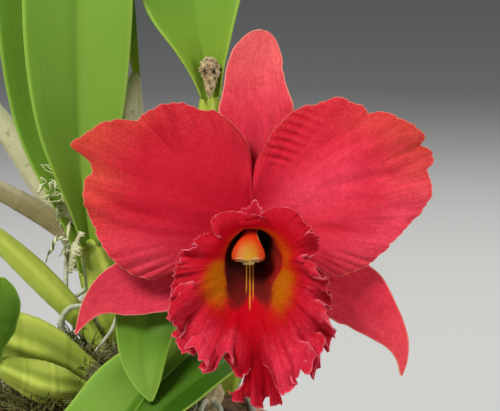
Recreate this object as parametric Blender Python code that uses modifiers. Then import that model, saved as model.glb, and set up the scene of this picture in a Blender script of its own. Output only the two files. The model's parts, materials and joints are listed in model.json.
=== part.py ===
"""A potted cattleya orchid in bloom: a frilled flower, pseudobulbs, leaves, rhizome, roots, bark and pot.

Metres, +Z up. The origin is the middle of the pot's underside, and the bloom faces -Y.
"""

import math
import random

import bmesh
import bpy
import numpy as np
from mathutils import Matrix, Vector

MM = 0.001
GAP = 0.35 * MM  # clearance between pieces that touch

# The pot, a plain clay one
POT_HEIGHT = 90 * MM
POT_RIM_RADIUS = 62 * MM
POT_RIM_BAND = 19 * MM
POT_BAND_STEP = 3.5 * MM
POT_BASE_RADIUS = 43 * MM
POT_WALL = 5 * MM
POT_FLOOR = 7 * MM
POT_STEPS = 30
DRAIN_HOLES = 3
DRAIN_RADIUS = 5 * MM
DRAIN_CIRCLE = 24 * MM

# The bark that fills it, heaped in the middle
BARK_AT_RIM = 89 * MM
HEAP_TOP = 110 * MM
HEAP_RADIUS = 52 * MM
CHIP_COUNT = 46
CHIP_SIZE = Vector((18, 11, 6)) * MM
CHIP_SEED = 11
CHIP_TILT = 0.35  # radians, at most
CHIP_FREE_RADIUS = 36 * MM  # beyond it the chips lie along the pot's wall

# The creeping stem
RHIZOME_RADIUS = 3.6 * MM
RHIZOME_LIFT = 3.2 * MM

# The bloom, measured in its own plane: right, up and towards the viewer from the tip of the column
BLOOM_CENTRE = Vector((44.3, -62, 160)) * MM
BLOOM_TILT = math.radians(8)
HUB = Vector((0.3, 7.25, 0)) * MM
HUB_RADIUS = 2.6 * MM
PETAL_THICKNESS = 0.8 * MM
SEPAL_THICKNESS = 0.9 * MM
SEPAL_HALF_WIDTHS = {"sepal_top": 10.9, "sepal_left": 10.2, "sepal_right": 10.2}
LIP_THICKNESS = 0.7 * MM
LEAF_THICKNESS = 1.5 * MM
LAST_RING = 0.985  # how far along a rounded body its last ring stands

LINE_MAIN = [(-5, 40), (2, 31), (5, 22), (6, 12), (4, 2), (2, -8), (0, -18), (-5, -30)]
LINE_BLOOM = [(5, 22), (13, 18), (20, 8), (23, -4), (27, -16), (29, -25)]
LINE_BACK = [(5, 22), (10, 30), (15, 37)]

# Each pseudobulb: where it leaves the creeping stem, the points it passes, its greatest radius and its ribs
BULBS = {
    "bulb_bloom": dict(foot=(24, -8), path=[(28, -15, 128), (30, -21, 145)], radius=5.2, ribs=0.05),
    "bulb_low": dict(foot=(28, -21), path=[(29, -25, 119), (29, -29, 126)], radius=4.2, ribs=0.05),
    "bulb_low_right": dict(foot=(26.5, -15), path=[(37, -20, 112), (40, -28, 120)], radius=4.0, ribs=0.05),
    "bulb_behind_bloom": dict(foot=(20, 7), path=[(27, 9, 150), (31.7, 10, 199)], radius=5.8, ribs=0.05),
    "bulb_tall_leaf": dict(foot=(4, 3), path=[(-1, 3, 134), (-7, 4, 153)], radius=6.2, ribs=0.06),
    "bulb_left_leaf": dict(foot=(6, 13), path=[(-3, 16, 128), (-9, 17, 142)], radius=5.2, ribs=0.06),
    "bulb_sheathed": dict(foot=(12, 19), path=[(8, 23, 160), (5.4, 24.6, 190), (7.2, 25.5, 205)], radius=5.2,
                          ribs=0.03),
    "bulb_fat": dict(foot=(0, -17), path=[(-18, -19, 122), (-36, -21, 130), (-49, -22, 139)], radius=7.6,
                     ribs=0.09),
    "bulb_lowest": dict(foot=(-2.5, -24), path=[(-14, -31, 113), (-24, -34, 117), (-32, -37, 121)], radius=6.0,
                        ribs=0.09),
    "bulb_slender": dict(foot=(2, -6), path=[(-10.6, -5, 129), (-34, -5, 151), (-48, -5, 164)], radius=4.6,
                         ribs=0.03),
    "bulb_old_brown": dict(foot=(5, 22), path=[(-6, 27, 142), (-14, 26, 151), (-36, 19, 166), (-60, 13, 177)],
                           radius=3.6, ribs=0.05),
    "bulb_old_grey": dict(foot=(2, 31), path=[(-9, 36, 140), (-28, 37, 173), (-52, 41, 204)], radius=5.2,
                          ribs=0.05),
    "bulb_right": dict(foot=(15, 16), path=[(26, 26, 134), (38, 34, 150)], radius=5.2, ribs=0.06),
    "bulb_back": dict(foot=(-4, 38), path=[(0, 49, 132), (2, 55, 150)], radius=5.6, ribs=0.06),
    "bulb_back_low": dict(foot=(14, 36), path=[(18, 41, 128), (20, 45, 140)], radius=5.0, ribs=0.06),
}

# Each leaf: the pseudobulb it stands on, the points of its midrib, the side its face looks to, its half width
LEAVES = {
    "leaf_behind_bloom": dict(bulb="bulb_behind_bloom", facing=(0, -1, 0.15), half_width=21, shape="broad",
                              rib=[(29.4, 11.5, 213), (26.3, 15, 229), (23, 24, 265), (22, 36, 312)]),
    "leaf_tall": dict(bulb="bulb_tall_leaf", facing=(0.1, -1, 0.1), half_width=18, shape="broad",
                      rib=[(-9, 3, 173), (-10, 3, 197), (-10, 5, 230), (-9, 12, 268), (-6, 24, 300)]),
    "leaf_left": dict(bulb="bulb_left_leaf", facing=(0.1, -1, 0.1), half_width=15.5, shape="broad",
                      rib=[(-13, 19, 165), (-19.5, 22.5, 193), (-23, 26, 230), (-25, 34, 265), (-24, 46, 292)]),
    "leaf_edge_on": dict(bulb="bulb_sheathed", facing=(-1, 0, 0.1), half_width=10, shape="even",
                         rib=[(5.8, 26.5, 230), (3, 32, 262), (-1, 44, 294)]),
    "leaf_hanging": dict(bulb="bulb_bloom", facing=(-0.1, -1, 0.5), half_width=10.5, shape="pointed",
                         rib=[(28, -26, 151), (25, -36, 154), (18.5, -50, 149), (14.2, -55.5, 138),
                              (13.2, -59, 127), (15.3, -61, 114.7)]),
    "leaf_low_front": dict(bulb="bulb_low", facing=(-0.3, -0.8, 0.5), half_width=15.5, shape="even",
                           rib=[(24, -35, 126), (15.5, -43, 119), (6, -52, 108), (-4, -62, 95), (-10, -69, 80)]),
    "leaf_low_right": dict(bulb="bulb_low_right", facing=(0, -0.3, 0.95), half_width=9, shape="even",
                           rib=[(40.5, -36, 125), (38.5, -45, 124.5), (31, -54, 121), (19.5, -61, 113),
                                (9.5, -66, 104.5)]),
    "leaf_low_left": dict(bulb="bulb_lowest", facing=(0.4, -0.9, 0.1), half_width=9, shape="even",
                          rib=[(-34.6, -41.8, 128), (-34, -46, 136), (-31.5, -49, 144), (-29, -51, 150)]),
    "leaf_fat_bulb": dict(bulb="bulb_fat", facing=(0.5, -0.3, 0.8), half_width=15, shape="even",
                          rib=[(-62, -24, 152), (-78, -26, 173), (-91, -24, 199), (-98, -16, 228)]),
    "leaf_slender_bulb": dict(bulb="bulb_slender", facing=(0.5, -0.2, 0.8), half_width=14, shape="even",
                              rib=[(-59, -4, 179), (-73, -2, 201), (-83, 3, 228), (-88, 12, 256)]),
    "leaf_old_grey": dict(bulb="bulb_old_grey", facing=(0.6, -0.5, 0.5), half_width=14, shape="even",
                          rib=[(-62, 43, 224), (-70, 45, 250), (-72, 50, 284)]),
    "leaf_right": dict(bulb="bulb_right", facing=(-0.2, 0, 1), half_width=14, shape="even",
                       rib=[(49, 38, 162), (64, 41, 170), (79, 44, 172), (92, 46, 167)]),
    "leaf_back": dict(bulb="bulb_back", facing=(0.1, -0.8, 0.6), half_width=12, shape="even",
                      rib=[(-5, 62, 174), (-13, 73, 204), (-18, 88, 230)]),
    "leaf_back_low": dict(bulb="bulb_back_low", facing=(0, -0.4, 1), half_width=13, shape="even",
                          rib=[(24, 58, 153), (28, 74, 159), (30, 92, 153)]),
}
# The outlines that leaves have: the share of the half width by the share of the length
LEAF_SHAPES = {
    "even": [(0, 0.17), (0.06, 0.19), (0.16, 0.42), (0.3, 0.78), (0.45, 0.96), (0.6, 1), (0.75, 0.95),
             (0.87, 0.76), (0.95, 0.48), (1, 0.08)],
    "broad": [(0, 0.3), (0.06, 0.42), (0.12, 0.58), (0.26, 0.85), (0.42, 0.98), (0.6, 1), (0.75, 0.95),
              (0.87, 0.76), (0.95, 0.48), (1, 0.08)],
    "pointed": [(0, 0.17), (0.06, 0.2), (0.16, 0.42), (0.3, 0.78), (0.45, 0.98), (0.58, 1), (0.67, 0.94),
                (0.73, 0.84), (0.845, 0.63), (0.925, 0.4), (0.97, 0.2), (1, 0.05)],
}
LEAF_FOLDS = [(0, 62), (0.1, 52), (0.25, 30), (0.5, 17), (1, 12)]  # degrees, by the share of the length

SHEATH_RIB = [(31.5, 3.9, 198), (31.8, 2.9, 204), (31.4, 2.3, 211)]
SHEATH_HALF_WIDTH = 2.6
SHEATH_THICKNESS = 0.7 * MM

# Roots: the points they pass, the last one inside the bark, and their radius
ROOTS = {
    "root_1": dict(points=[(-3, -1, 113.5), (-9, -4, 112), (-17, -9, 110.5), (-25, -13, 106), (-28, -15, 97)],
                   radius=1.3),
    "root_2": dict(points=[(11, 1, 112), (12, -6, 112.5), (11, -15, 111), (13, -25, 107.5), (14, -31, 99)],
                   radius=1.3),
    "root_3": dict(points=[(32, -9, 111), (38, -5, 107), (43, 2, 103), (46, 7, 93)], radius=1.2),
    "root_4": dict(points=[(-4, 25, 112), (-13, 24, 110.5), (-23, 19, 108), (-33, 15, 104), (-36, 14, 95)],
                   radius=1.3),
    "root_5": dict(points=[(-15, 20.8, 149), (-15.5, 19, 140), (-16, 15, 128), (-18, 11, 116), (-19, 9, 101)],
                   radius=0.9),
    "root_6": dict(points=[(14.5, 27.3, 106), (22, 27, 104.5), (31, 30, 99.5), (37, 33, 93), (39, 34, 85)],
                   radius=1.2),
    "root_7": dict(points=[(8, -24, 108.5), (4, -34, 107), (3, -43, 103.5), (2, -48, 94)], radius=1.2),
}

# How far each petal reaches from the hub, by the angle of the ray as the viewer sees it, in degrees and mm
LEFT_PETAL = [(91, 14), (92.5, 20.5), (96, 26.5), (102, 31), (108, 34.8), (115, 37.6), (122, 41.8), (130, 44.2),
              (138, 46.5), (145, 51.5), (151, 54.5), (155.5, 56), (160, 49.6), (166, 49.8), (172, 48.8),
              (178, 46.5), (185, 44.4), (192, 42), (199, 39.2), (205, 35.5), (210, 28.5)]
RIGHT_PETAL = [(84, 11.5), (82.5, 17.5), (79, 24.5), (74, 30.5), (68, 36), (61, 40), (54, 45.2), (47, 47.2),
               (43, 47.4), (38, 51.6), (31, 55.4), (26, 55.4), (21, 56.6), (17, 53.2), (11, 53.6), (5, 50.2),
               (-1, 45.5), (-8, 41), (-16, 37), (-24, 33), (-32, 27.5)]

# How far the lip's rim lies from the middle of the throat, by the angle from straight down
LIP_RIM = [(-174, 13.6), (-160, 15.6), (-146, 17), (-134, 16.4), (-126, 14), (-116, 16.8), (-104, 18.4),
           (-92, 21.4), (-80, 22.6), (-68, 25.4), (-57, 28.3), (-47, 31), (-37, 32.4), (-27, 33.4), (-18, 31.4),
           (-10, 35.4), (-2, 39), (8, 40.8), (17, 38), (25, 35.6), (31, 36.6), (40, 33), (50, 31), (58, 27.4),
           (68, 24.8), (78, 22.4), (90, 18.4), (98, 18), (108, 19.6), (120, 19.4), (134, 19), (148, 18.4),
           (162, 16.2), (174, 13.6)]
THROAT_CENTRE = (0.6, -3.4)
THROAT_DEPTH = 17.0


def clear_scene():
    for obj in list(bpy.data.objects):
        bpy.data.objects.remove(obj, do_unlink=True)


def new_collection(name):
    collection = bpy.data.collections.new(name)
    bpy.context.scene.collection.children.link(collection)
    return collection


def new_material(name, colour, roughness):
    material = bpy.data.materials.new(name)
    material.use_nodes = True
    shader = material.node_tree.nodes["Principled BSDF"]
    shader.inputs["Base Color"].default_value = (*colour, 1)
    shader.inputs["Roughness"].default_value = roughness
    shader.inputs["Metallic"].default_value = 0
    material.diffuse_color = (*colour, 1)
    return material


def between(table, x):
    """The value at x of a smooth curve through (position, value) pairs."""
    xs = [row[0] for row in table]
    ys = [row[1] for row in table]
    if xs[0] > xs[-1]:
        xs, ys = xs[::-1], ys[::-1]
    x = min(max(x, xs[0]), xs[-1])
    i = min(max(int(np.searchsorted(xs, x)) - 1, 0), len(xs) - 2)
    before, after = max(i - 1, 0), min(i + 2, len(xs) - 1)
    width = xs[i + 1] - xs[i]
    slope_in = (ys[i + 1] - ys[before]) / (xs[i + 1] - xs[before])
    slope_out = (ys[after] - ys[i]) / (xs[after] - xs[i])
    f = (x - xs[i]) / width
    return (
        (2 * f**3 - 3 * f**2 + 1) * ys[i]
        + (f**3 - 2 * f**2 + f) * width * slope_in
        + (3 * f**2 - 2 * f**3) * ys[i + 1]
        + (f**3 - f**2) * width * slope_out
    )


class Path:
    """A smooth curve through points, by the share of its length."""

    def __init__(self, points):
        points = [Vector(p) for p in points]
        lengths = [0.0]
        for a, b in zip(points, points[1:]):
            lengths.append(lengths[-1] + (b - a).length)
        self.length = lengths[-1]
        self.rows = [[(s / self.length, p[k]) for s, p in zip(lengths, points)] for k in range(3)]

    def at(self, share):
        return Vector(between(row, share) for row in self.rows)

    def along(self, share):
        step = 0.02
        return (self.at(min(share + step, 1)) - self.at(max(share - step, 0))).normalized()


def grid_object(name, rows, columns, place, material, collection, closed=False):
    """A grid bent by place(s, t), with s from 0 to 1 along it and t from -1 to 1 across it."""
    grid = bmesh.new()
    bmesh.ops.create_grid(grid, x_segments=rows, y_segments=columns, size=1)
    for vertex in grid.verts:
        vertex.co = place((vertex.co.x + 1) / 2, vertex.co.y)
    bmesh.ops.remove_doubles(grid, verts=grid.verts, dist=0.01 * MM)
    bmesh.ops.dissolve_degenerate(grid, edges=grid.edges, dist=0.01 * MM)
    bmesh.ops.triangulate(grid, faces=grid.faces)
    if closed:
        bmesh.ops.recalc_face_normals(grid, faces=grid.faces)
    mesh = bpy.data.meshes.new(name)
    grid.to_mesh(mesh)
    grid.free()
    mesh.shade_smooth()
    mesh.materials.append(material)
    obj = bpy.data.objects.new(name, mesh)
    collection.objects.link(obj)
    return obj


def thicken(obj, thickness):
    solidify = obj.modifiers.new("thickness", "SOLIDIFY")
    solidify.thickness = thickness
    solidify.offset = 0
    return obj


def heap_height(x, y):
    """The height of the bark's heap, which falls away from the middle of the pot."""
    return HEAP_TOP - (HEAP_TOP - BARK_AT_RIM) * min((x * x + y * y) / HEAP_RADIUS**2, 1.3)


def bloom_point(right, up, forward):
    """A point of the bloom's plane, in mm, as a place in the world."""
    across = Vector((1, 0, 0))
    upward = Vector((0, math.sin(BLOOM_TILT), math.cos(BLOOM_TILT)))
    outward = Vector((0, -math.cos(BLOOM_TILT), math.sin(BLOOM_TILT)))
    return BLOOM_CENTRE + (across * right + upward * up + outward * forward) * MM


def turned(name, profile, steps, material, collection):
    """A profile of (radius, height) pairs in mm, run top to bottom down the outside, turned about Z."""
    curve = bmesh.new()
    vertices = [curve.verts.new((r * MM, 0, z * MM)) for r, z in profile]
    for a, b in zip(vertices, vertices[1:]):
        curve.edges.new((a, b))
    mesh = bpy.data.meshes.new(name)
    curve.to_mesh(mesh)
    curve.free()
    mesh.materials.append(material)
    obj = bpy.data.objects.new(name, mesh)
    collection.objects.link(obj)
    screw = obj.modifiers.new("turn", "SCREW")
    screw.steps = steps
    screw.render_steps = steps
    screw.use_merge_vertices = True
    screw.merge_threshold = 0.01 * MM
    screw.use_smooth_shade = False
    return obj


def applied(obj):
    """The object with its modifiers, or its curve, made a plain mesh."""
    graph = bpy.context.evaluated_depsgraph_get()
    mesh = bpy.data.meshes.new_from_object(obj.evaluated_get(graph))
    bare = bpy.data.objects.new(obj.name + "_mesh", mesh)
    bare.matrix_world = obj.matrix_world
    collection = obj.users_collection[0]
    name = obj.name
    bpy.data.objects.remove(obj, do_unlink=True)
    weld = bmesh.new()
    weld.from_mesh(mesh)
    bmesh.ops.remove_doubles(weld, verts=weld.verts, dist=0.005 * MM)
    weld.to_mesh(mesh)
    weld.free()
    bare.name = name
    collection.objects.link(bare)
    return bare


def boolean(obj, operation, collection, solver):
    """One Boolean of the object with all of a collection, applied, after which the collection is emptied."""
    cut = obj.modifiers.new(operation.lower(), "BOOLEAN")
    cut.operation = operation
    cut.operand_type = "COLLECTION"
    cut.collection = collection
    cut.solver = solver
    done = applied(obj)
    for other in list(collection.objects):
        bpy.data.objects.remove(other, do_unlink=True)
    return done


def drop_crumbs(obj):
    """Keeps only the greatest of the bodies that a Boolean left, without the crumbs cut free of it."""
    mesh = bmesh.new()
    mesh.from_mesh(obj.data)
    left, bodies = set(mesh.verts), []
    while left:
        body, edge = set(), {left.pop()}
        while edge:
            body |= edge
            edge = {other for v in edge for e in v.link_edges for other in e.verts} - body
        left -= body
        bodies.append(body)
    largest = max(bodies, key=len)
    bmesh.ops.delete(mesh, geom=[v for v in mesh.verts if v not in largest], context="VERTS")
    mesh.to_mesh(obj.data)
    mesh.free()


def pot(material, collection, cutters):
    """A tapering clay pot with a banded rim and three drain holes clear of the middle of its foot."""
    height, rim, wall = POT_HEIGHT / MM, POT_RIM_RADIUS / MM, POT_WALL / MM
    band, step = POT_RIM_BAND / MM, POT_BAND_STEP / MM
    foot, floor = POT_BASE_RADIUS / MM, POT_FLOOR / MM
    profile = [
        (rim - wall, height),
        (rim - 0.8, height),
        (rim, height - 1.2),
        (rim - 0.6, height - band),
        (rim - step, height - band - 1.2),
        (foot + 1, 1.2),
        (foot - 0.4, 0),
        (0, 0),
    ]
    inside = [(0, floor), (foot - wall, floor), (rim - step - wall, height - band), (rim - wall, height)]
    obj = turned("pot", profile + inside, POT_STEPS, material, collection)
    for hole in range(DRAIN_HOLES):
        turn = 2 * math.pi * hole / DRAIN_HOLES + math.pi / 2
        bpy.ops.mesh.primitive_cylinder_add(
            vertices=16,
            radius=DRAIN_RADIUS,
            depth=3 * POT_FLOOR,
            location=(DRAIN_CIRCLE * math.cos(turn), DRAIN_CIRCLE * math.sin(turn), POT_FLOOR / 2),
        )
        cutter = bpy.context.object
        cutter.users_collection[0].objects.unlink(cutter)
        cutters.objects.link(cutter)
    return boolean(applied(obj), "DIFFERENCE", cutters, "EXACT")


def bark_core(material, collection):
    """The packed body of bark, which fills the pot to just inside its wall and heaps above it."""
    height, rim, wall = POT_HEIGHT / MM, POT_RIM_RADIUS / MM, POT_WALL / MM
    gap, floor = GAP / MM, POT_FLOOR / MM
    neck = rim - POT_BAND_STEP / MM - wall - gap
    top = [(share * HEAP_RADIUS / MM, heap_height(share * HEAP_RADIUS, 0) / MM) for share in (0, 0.3, 0.6, 0.85)]
    profile = [(r, z - 2) for r, z in top] + [
        (rim - wall - 2.5, BARK_AT_RIM / MM - 2),
        (neck, height - POT_RIM_BAND / MM - 0.5),
        (POT_BASE_RADIUS / MM - wall - gap, floor + gap),
        (0, floor + gap),
    ]
    return turned("bark", profile, POT_STEPS, material, collection)


def chips(material, collection):
    """Bark chips on the heap: boxes with uneven corners, lying about flat, spread by a sunflower spiral."""
    draw = random.Random(CHIP_SEED)
    golden = math.pi * (3 - math.sqrt(5))
    reach = POT_RIM_RADIUS - POT_WALL - 9 * MM
    for number in range(CHIP_COUNT):
        radius = reach * math.sqrt((number + 0.5) / CHIP_COUNT)
        turn = number * golden
        x, y = radius * math.cos(turn), radius * math.sin(turn)
        chip = bmesh.new()
        bmesh.ops.create_cube(chip, size=1)
        for vertex in chip.verts:
            corner = [k * draw.uniform(0.72, 1.1) for k in vertex.co]
            vertex.co = Vector(corner[k] * CHIP_SIZE[k] for k in range(3))
        size = draw.uniform(0.7, 1.1)
        tilt = Matrix.Rotation(draw.uniform(-CHIP_TILT, CHIP_TILT), 4, "X")
        tilt = tilt @ Matrix.Rotation(draw.uniform(-CHIP_TILT, CHIP_TILT), 4, "Y")
        place = Matrix.Translation((x, y, heap_height(x, y) - 2 * MM + draw.uniform(-0.6, 1.0) * MM))
        heading = draw.uniform(0, math.pi) if radius < CHIP_FREE_RADIUS else turn + math.pi / 2
        chip.transform(place @ Matrix.Rotation(heading, 4, "Z") @ tilt @ Matrix.Scale(size, 4))
        bmesh.ops.triangulate(chip, faces=chip.faces)
        mesh = bpy.data.meshes.new(f"chip_{number}")
        chip.to_mesh(mesh)
        chip.free()
        mesh.materials.append(material)
        collection.objects.link(bpy.data.objects.new(mesh.name, mesh))


def heap_line(points):
    """The creeping stem's line over the bark."""
    lifted = RHIZOME_LIFT / MM
    return [(x, y, heap_height(x * MM, y * MM) / MM + lifted) for x, y in points]


def stem_body(name, points, radius, rows, sides, material, collection, ribs=0.0, spare=0.0):
    """A closed body on a curve, pointed at its start and blunt at its end, with spare added all over."""
    path = Path(points)
    axes = [Vector((1, 0, 0)), Vector((0, 1, 0)), Vector((0, 0, 1))]
    steady = min(axes, key=lambda axis: max(abs(path.along(k / 8).dot(axis)) for k in range(9)))

    def place(s, t):
        ring = round(s * rows)
        share = 1 if ring == rows else ring / (rows - 1) * LAST_RING
        along = path.along(share)
        side = along.cross(steady).normalized()
        face = side.cross(along)
        angle = math.pi * t
        r = (radius(share) + spare) * (1 + ribs * math.cos(angle * sides / 2)) if 0 < ring < rows else 0
        end = along * spare * (1 if ring >= rows - 1 else -1 if ring == 0 else 0)
        return (path.at(share) + end + (side * math.cos(angle) + face * math.sin(angle)) * r) * MM

    return grid_object(name, rows, sides, place, material, collection, closed=True)


def rhizome_bodies(material, collection, name, spare=0.0):
    """The creeping stem's three lines, each a closed body; gives the main one."""

    def radius(s):
        return RHIZOME_RADIUS / MM * min(1, 9 * s + 0.25, 9 * (1 - s) + 0.25)

    for number, (line, rows) in enumerate(((LINE_BLOOM, 14), (LINE_BACK, 6))):
        stem_body(f"{name}_{number}", heap_line(line), radius, rows, 8, material, collection, spare=spare)
    return stem_body(name, heap_line(LINE_MAIN), radius, 20, 8, material, collection, spare=spare)


def rhizome(material, collection, joins):
    """The creeping stem, its two branches fused to the main line."""
    body = rhizome_bodies(material, joins, "rhizome")
    joins.objects.unlink(body)
    collection.objects.link(body)
    return boolean(body, "UNION", joins, "EXACT")


def bulb_points(name):
    """The pseudobulb's line, from just off the creeping stem to its top."""
    plan = BULBS[name]
    foot = Vector(heap_line([plan["foot"]])[0])
    first = Vector(plan["path"][0])
    start = foot + (first - foot).normalized() * ((RHIZOME_RADIUS + GAP) / MM)
    return [start, *plan["path"]]


def bulb(name, material, collection, spare=0.0):
    plan = BULBS[name]
    widths = [(0, 0.42), (0.12, 0.6), (0.35, 0.95), (0.55, 1), (0.78, 0.78), (0.93, 0.62), (1, 0.6)]

    def radius(s):
        return plan["radius"] * between(widths, s)

    return stem_body(
        name if not spare else name + "_cut",
        bulb_points(name),
        radius,
        9,
        10,
        material,
        collection,
        ribs=plan["ribs"],
        spare=spare,
    )


def leaf(name, material, collection):
    """A leathery blade on its midrib: folded into a stalk at the foot, opening to a shallow trough."""
    plan = LEAVES[name]
    top = Vector(BULBS[plan["bulb"]]["path"][-1])
    start = top + (Vector(plan["rib"][0]) - top).normalized() * (GAP / MM + 0.5)
    path = Path([start, *plan["rib"]])
    facing = Vector(plan["facing"]).normalized()
    widths = LEAF_SHAPES[plan["shape"]]

    def place(s, t):
        along = path.along(s)
        side = along.cross(facing).normalized()
        face = side.cross(along)
        width = plan["half_width"] * between(widths, s)
        fold = math.radians(between(LEAF_FOLDS, s))
        lift = math.sqrt(t * t + 0.02) - math.sqrt(0.02)
        return (path.at(s) + (side * t * math.cos(fold) + face * lift * math.sin(fold)) * width) * MM

    return thicken(grid_object(name, 12, 4, place, material, collection), LEAF_THICKNESS)


def petal(name, reach, sway, material, collection):
    """A broad petal: rays fan from the hub to its waved rim, and its middle arches forward."""
    first, last = reach[0][0], reach[-1][0]
    inner = (HUB_RADIUS + GAP) / MM + 0.45

    def place(s, t):
        angle = first + (last - first) * (t + 1) / 2
        turn = math.radians(angle)
        distance = inner + s * (between(reach, angle) - inner)
        arch = 1.5 + 3.2 * math.sin(1.9 * s) - 1.6 * s**3
        wave = s**3 * (1.3 * math.sin(7.5 * turn + sway) + 0.7 * math.sin(17 * turn + 2 * sway))
        edge = 1 - abs(t) ** 4
        right = HUB.x / MM + distance * math.cos(turn)
        up = HUB.y / MM + distance * math.sin(turn)
        return bloom_point(right, up, arch + wave * (0.35 + 0.65 * edge))

    return thicken(grid_object(name, 9, 22, place, material, collection), PETAL_THICKNESS)


def dry_sheath(material, collection):
    """The dried, curling sheath of an old bloom, on the front of the leaf behind the flower."""
    path = Path(SHEATH_RIB)

    def place(s, t):
        width = SHEATH_HALF_WIDTH * (0.55 + 0.6 * math.sin(math.pi * (0.15 + 0.8 * s)))
        bend = 1.25 * t
        return (path.at(s) + Vector((math.sin(bend), 0.6 - 0.6 * math.cos(bend), 0)) * width) * MM

    return thicken(grid_object("dry_sheath", 6, 6, place, material, collection), SHEATH_THICKNESS)


def sepal(name, rib, half_width, widths, material, collection):
    """A narrower outer segment behind the petals: a blade on its midrib, slightly cupped."""
    path = Path(rib)

    def place(s, t):
        along = path.along(s)
        side = along.cross(Vector((0, 0, 1))).normalized()
        width = half_width * between(widths, s)
        cup = Vector((0, 0, 1)) * (width * 0.16 * t * t)
        return bloom_point(*(path.at(s) + side * t * width + cup))

    return thicken(grid_object(name, 12, 6, place, material, collection), SEPAL_THICKNESS)


def sepals(material, collection):
    """The three sepals, each from beside the stalk's end to its drooping or upright tip."""
    x, y = HUB.x / MM, HUB.y / MM
    ribs = {
        "sepal_top": [(x, y + 2.9, -1.4), (1.7, 25, -3), (1.8, 40, -4.7), (1.4, 52, -6.4), (2.5, 58, -7.5),
                      (4.1, 64.4, -9)],
        "sepal_left": [(x - 2.4, y - 1.7, -1.6), (-17, -4, -3.5), (-34.2, -10.7, -4.5), (-41.5, -13.3, -4.5),
                       (-45.8, -16.4, -4), (-48.7, -20.3, -3.5), (-51, -24.7, -3)],
        "sepal_right": [(x + 2.4, y - 1.7, -1.6), (17, -4.5, -3.5), (31.8, -14.2, -4.5), (36.1, -18.4, -4.5),
                        (40.2, -22.9, -4.2), (43, -27.1, -3.9), (44.4, -31.9, -3.4), (44.2, -36.8, -3)],
    }
    widths = {
        "sepal_top": [(0, 0.2), (0.15, 0.5), (0.3, 0.85), (0.45, 0.98), (0.57, 1), (0.634, 0.92), (0.71, 0.82),
                      (0.79, 0.77), (0.863, 0.67), (0.94, 0.48), (0.985, 0.26), (1, 0.08)],
        "sepal_left": [(0, 0.2), (0.12, 0.55), (0.3, 0.93), (0.45, 1), (0.61, 0.87), (0.74, 0.62), (0.83, 0.36),
                       (0.915, 0.17), (1, 0.03)],
        "sepal_right": [(0, 0.2), (0.12, 0.55), (0.3, 0.93), (0.45, 1), (0.566, 0.9), (0.66, 0.745),
                        (0.76, 0.534), (0.84, 0.343), (0.92, 0.18), (1, 0.03)],
    }
    for name, rib in ribs.items():
        sepal(name, rib, SEPAL_HALF_WIDTHS[name], widths[name], material, collection)


def lip_place(s, t):
    """The lip: a tube round the column that flares into a frilled limb, open in a slit along its top."""
    angle = 174 * t
    turn = math.radians(angle)
    rim = between(LIP_RIM, angle)
    low = 0.5 + 0.5 * math.cos(turn)
    centre_x, centre_y = THROAT_CENTRE
    rows = [
        (0.0, (0.3, 5.2), (3.4, 3.6), 2.8),
        (0.2, (0.4, 3.2), (5.0, 5.4), 8.0),
        (0.38, (0.6, -0.6), (6.4, 8.2), 13.2),
        (0.54, (centre_x, centre_y), (8.6, 11.5), THROAT_DEPTH),
    ]
    across, down = math.sin(turn), -math.cos(turn)
    points = []
    for share, centre, radii, depth in rows:
        points.append((share, Vector((centre[0] + radii[0] * across, centre[1] + radii[1] * down, depth))))
    throat = math.hypot(8.6 * across, 11.5 * down)
    middle = throat + 0.5 * (rim - throat)
    for share, distance, depth in ((0.77, middle, 19.4 + 2.8 * low), (1.0, rim, 20.2 + 0.6 * low)):
        points.append((share, Vector((centre_x + distance * across, centre_y + distance * down, depth))))
    point = Vector(between([(share, p[k]) for share, p in points], s) for k in range(3))
    frill = max(0, (s - 0.5) / 0.5) ** 2
    ripple = 1.9 * math.sin(15 * turn + 1.6 * math.sin(2.3 * turn)) + 0.8 * math.sin(31 * turn + 1)
    sway = 0.8 * math.cos(15 * turn + 1.6 * math.sin(2.3 * turn))
    sideways = Vector((math.cos(turn), math.sin(turn), 0))
    return point + Vector((0, 0, 1)) * ripple * frill + sideways * sway * frill


def lip(material, collection):
    def place(s, t):
        return bloom_point(*lip_place(s, t))

    return thicken(grid_object("lip", 8, 84, place, material, collection), LIP_THICKNESS)


def column(material, collection):
    """The column: a stout body that leans forward over the throat, hooded at its tip."""
    path = Path([(0.3, 7.6, 2.8), (0.2, 6.6, 8.0), (0.1, 3.4, 13.2), (0, -1.4, 16.6)])
    widths = [(0, 1.6), (0.3, 2.3), (0.7, 3.6), (0.92, 4.6), (1, 3.4)]

    def place(s, t):
        along = path.along(s)
        side = along.cross(Vector((0, 1, 0))).normalized()
        back = side.cross(along)
        angle = math.pi * t
        r = between(widths, s) if 0 < s < 1 else 0
        flat = 0.62 if math.sin(angle) > 0 else 0.34
        return bloom_point(*(path.at(s) + side * math.cos(angle) * r + back * math.sin(angle) * r * flat))

    return grid_object("column", 9, 12, place, material, collection, closed=True)


def anther_cap(material, collection):
    """The small pale cap under the column's tip."""
    centre = bloom_point(0, -2.7, 17.1)
    cap = bmesh.new()
    bmesh.ops.create_uvsphere(cap, u_segments=12, v_segments=7, radius=1)
    size = Matrix.Diagonal((1.9 * MM, 1.0 * MM, 0.9 * MM, 1))
    cap.transform(Matrix.Translation(centre) @ Matrix.Rotation(BLOOM_TILT, 4, "X") @ size)
    mesh = bpy.data.meshes.new("anther_cap")
    cap.to_mesh(mesh)
    cap.free()
    mesh.shade_smooth()
    mesh.materials.append(material)
    collection.objects.link(bpy.data.objects.new("anther_cap", mesh))


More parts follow.
